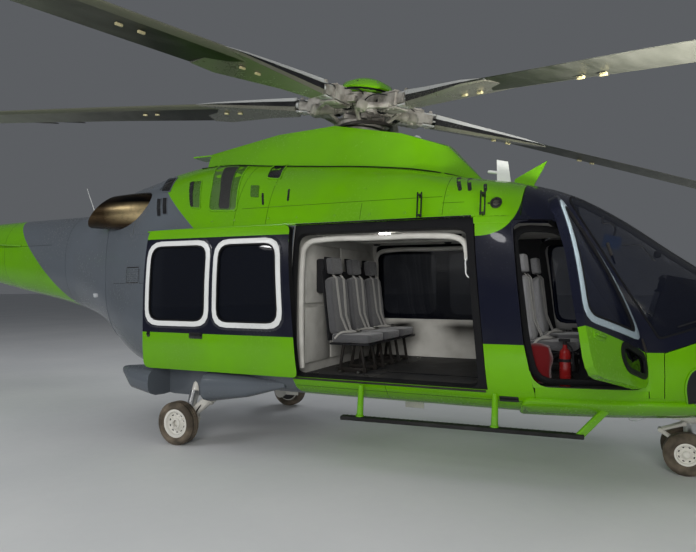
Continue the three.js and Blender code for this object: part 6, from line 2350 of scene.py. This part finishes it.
class HELICOPTER_OT_cockpit(bpy.types.Operator):
    """Builds the pilots' seats, instrument panel, controls, visor and cockpit fittings"""

    bl_idname = "helicopter.cockpit"
    bl_label = "Cockpit"

    def execute(self, context):
        x, y = PILOT_SEAT
        for name, side in SIDES:
            piece = seat_set(x, side * y, f"pilot_{name}", "pale cloth")
            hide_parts(f"pilot_seat_{name}")
            keep(f"controls_{name}", "black plastic", controls(side))
        dress_softened("instrument_panel", "black plastic", "black_plastic", 28)
        instruments()
        keep("sun_visor_right", "visor glass", slab(-0.072, 0.072, 0, 0.003, -0.056, 0.056, 0.002),
             move=Matrix.Translation((2.43, -0.3, 1.967)) @ Matrix.Rotation(math.radians(14), 4, "Y"))
        keep("sun_visor_arm", "bare steel", rod((2.36, -0.25, 2.13), (2.36, -0.29, 2.19), 0.012),
             pipe([(2.36, -0.27, 2.13), (2.41, -0.27, 2.135), (2.455, -0.28, 2.1), (2.45, -0.295, 2.02)],
                  0.009))
        keep("compass", "black plastic", block((2.765, -0.035, 1.835), (2.825, 0.035, 1.895), 0.016),
             rod((2.8, 0, 1.88), (2.815, 0, 1.93), 0.01, 10))
        keep("screen_stay", "bare steel", pipe(SCREEN_STAY, 0.005))
        keep("overhead_switches", "black plastic", block((1.8, -0.16, 2.14), (2.05, 0.16, 2.21), 0.02),
             [rod((x, y, 2.142), (x, y, 2.12), 0.007, 8) for x in (1.83 + 0.045 * k for k in range(5))
              for y in (-0.105, -0.035, 0.035, 0.105)])
        keep("fire_bottle", "red enamel",
             spun([(0, 0), (0.04, 0), (0.046, 0.01), (0.046, 0.27), (0.04, 0.302), (0.02, 0.322),
                   (0.016, 0.35),
                   (0, 0.35)], BOTTLE + UP * 0.757, UP, 28))
        keep("fire_bottle_valve", "black plastic", bottle_valve())
        piece = keep_pad("red_kit_bag", "red cloth", kit_bag(), Matrix.Translation((1.872, -0.745, 0.945)))
        return {"FINISHED"}


# Studio


class HELICOPTER_OT_skins(bpy.types.Operator):
    """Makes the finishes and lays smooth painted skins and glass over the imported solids"""

    bl_idname = "helicopter.skins"
    bl_label = "Painted skins"

    def execute(self, context):
        make_finishes()
        for shell in SHELLS:
            dress_shell(*shell)
        for pane in PANES:
            dress_pane(*pane)
        for softened in SOFTENED:
            dress_softened(*softened)
        NODES["engines"].data.materials.clear()
        NODES["engines"].data.materials.append(bpy.data.materials["dark metal"])
        return {"FINISHED"}


# How widely the low lamp under the front blades fans out
BEAM = math.radians(48)
# Columns: name, place, aim, size, power, colour, what it lights
LAMPS = (
    ("key", (5, -10, 3.6), (0.5, 0, 1.6), 5, 620, (1, 0.99, 0.97), "tone"),
    ("fill", (-6.5, -8.5, 4.5), (-1, 0, 1.8), 5, 320, (0.96, 0.98, 1), "tone"),
    ("top", (0, 0, 17), (0, 0, 0), 24, 980, (1, 1, 1), "tone"),
    ("back", (2, 9, 6), (0, 0, 2), 5, 240, (0.94, 0.97, 1), "tone"),
    ("low", (6.3, -4.4, 0.3), (4.5, -1.7, 3.3), 1, 110, (1, 0.98, 0.94), "tone"),
    ("front glint", (3.2, -9, 7.2), (0.5, 0, 1.6), 1.2, 60, (1, 1, 1), "gloss"),
    ("rear glint", (-3.5, -8, 5.5), (-1.5, 0, 2), 0.8, 60, (1, 1, 1), "gloss"),
)


class HELICOPTER_OT_studio(bpy.types.Operator):
    """Sets the pale floor, the soft lights and the camera at the photograph's angle"""

    bl_idname = "helicopter.studio"
    bl_label = "Studio"

    def execute(self, context):
        graph, shader = new_material("studio floor")
        cloud = graph.noise(graph.place(), 0.6, 4)
        graph.put(shader["Base Color"], graph.mix(graph.span(cloud, 0.3, 0.7), (0.6, 0.61, 0.62),
                                                  (0.66, 0.665, 0.67)))
        graph.put(shader["Roughness"], graph.span(graph.noise(graph.place(), 9), 0.3, 0.7, 0.55, 0.75))
        floor = bmesh.new()
        bmesh.ops.create_grid(floor, x_segments=1, y_segments=1, size=120)
        mesh = bpy.data.meshes.new("studio_floor")
        floor.to_mesh(mesh)
        floor.free()
        mesh.materials.append(bpy.data.materials["studio floor"])
        ground = bpy.data.objects.new("studio_floor", mesh)
        context.scene.collection.objects.link(ground)

        world = bpy.data.worlds.new("studio")
        world.use_nodes = True
        background = world.node_tree.nodes["Background"].inputs
        background["Color"].default_value = (0.7, 0.74, 0.8, 1)
        background["Strength"].default_value = 0.15
        context.scene.view_settings.view_transform = "Standard"
        context.scene.world = world
        for name, place, aim, size, power, colour, lights in LAMPS:
            light = bpy.data.lights.new(name, "AREA")
            light.shape = "DISK"
            light.size = size
            light.energy = power
            light.color = colour
            light.spread = BEAM if name == "low" else math.pi
            carrier = bpy.data.objects.new(name, light)
            carrier.location = place
            carrier.visible_glossy = lights == "gloss"
            carrier.visible_diffuse = lights == "tone"
            carrier.visible_camera = False
            carrier.rotation_euler = (Vector(aim) - Vector(place)).to_track_quat("-Z", "Y").to_euler()
            context.scene.collection.objects.link(carrier)

        framing = sizes()
        view = bpy.data.cameras.new("photo_view")
        view.lens = framing.lens
        view.sensor_width = 36
        view.clip_end = 400
        camera = bpy.data.objects.new("photo_view", view)
        camera.location = framing.eye
        camera.rotation_euler = (math.radians(90) + framing.pitch, 0, framing.yaw)
        context.scene.collection.objects.link(camera)
        context.scene.camera = camera
        return {"FINISHED"}


ORDER = (
    HELICOPTER_OT_skins, HELICOPTER_OT_cowling, HELICOPTER_OT_fairing, HELICOPTER_OT_doors,
    HELICOPTER_OT_hull_fittings, HELICOPTER_OT_rotor_head, HELICOPTER_OT_blades, HELICOPTER_OT_exhausts,
    HELICOPTER_OT_tail, HELICOPTER_OT_gear, HELICOPTER_OT_wheels, HELICOPTER_OT_steps, HELICOPTER_OT_cabin,
    HELICOPTER_OT_cockpit, HELICOPTER_OT_studio,
)


class HELICOPTER_PT_panel(bpy.types.Panel):
    """Lists the steps that dress the helicopter, with its colours and sizes"""

    bl_idname = "HELICOPTER_PT_panel"
    bl_label = "Rescue helicopter"
    bl_space_type = "VIEW_3D"
    bl_region_type = "UI"
    bl_category = "Helicopter"

    def draw(self, context):
        for step in ORDER:
            self.layout.operator(step.bl_idname)
        for settings in (colours(), sizes()):
            box = self.layout.box()
            for key in settings.__annotations__:
                box.prop(settings, key)


CLASSES = (HelicopterColours, HelicopterSizes, *ORDER, HELICOPTER_PT_panel)


def register():
    for entry in CLASSES:
        bpy.utils.register_class(entry)
    bpy.types.Scene.helicopter_colours = PointerProperty(type=HelicopterColours)
    bpy.types.Scene.helicopter_sizes = PointerProperty(type=HelicopterSizes)


def unregister():
    del bpy.types.Scene.helicopter_sizes
    del bpy.types.Scene.helicopter_colours
    for entry in reversed(CLASSES):
        bpy.utils.unregister_class(entry)


def main():
    register()
    for step in ORDER:
        family, name = step.bl_idname.split(".")
        getattr(getattr(bpy.ops, family), name)()


if __name__ == "__main__":
    main()
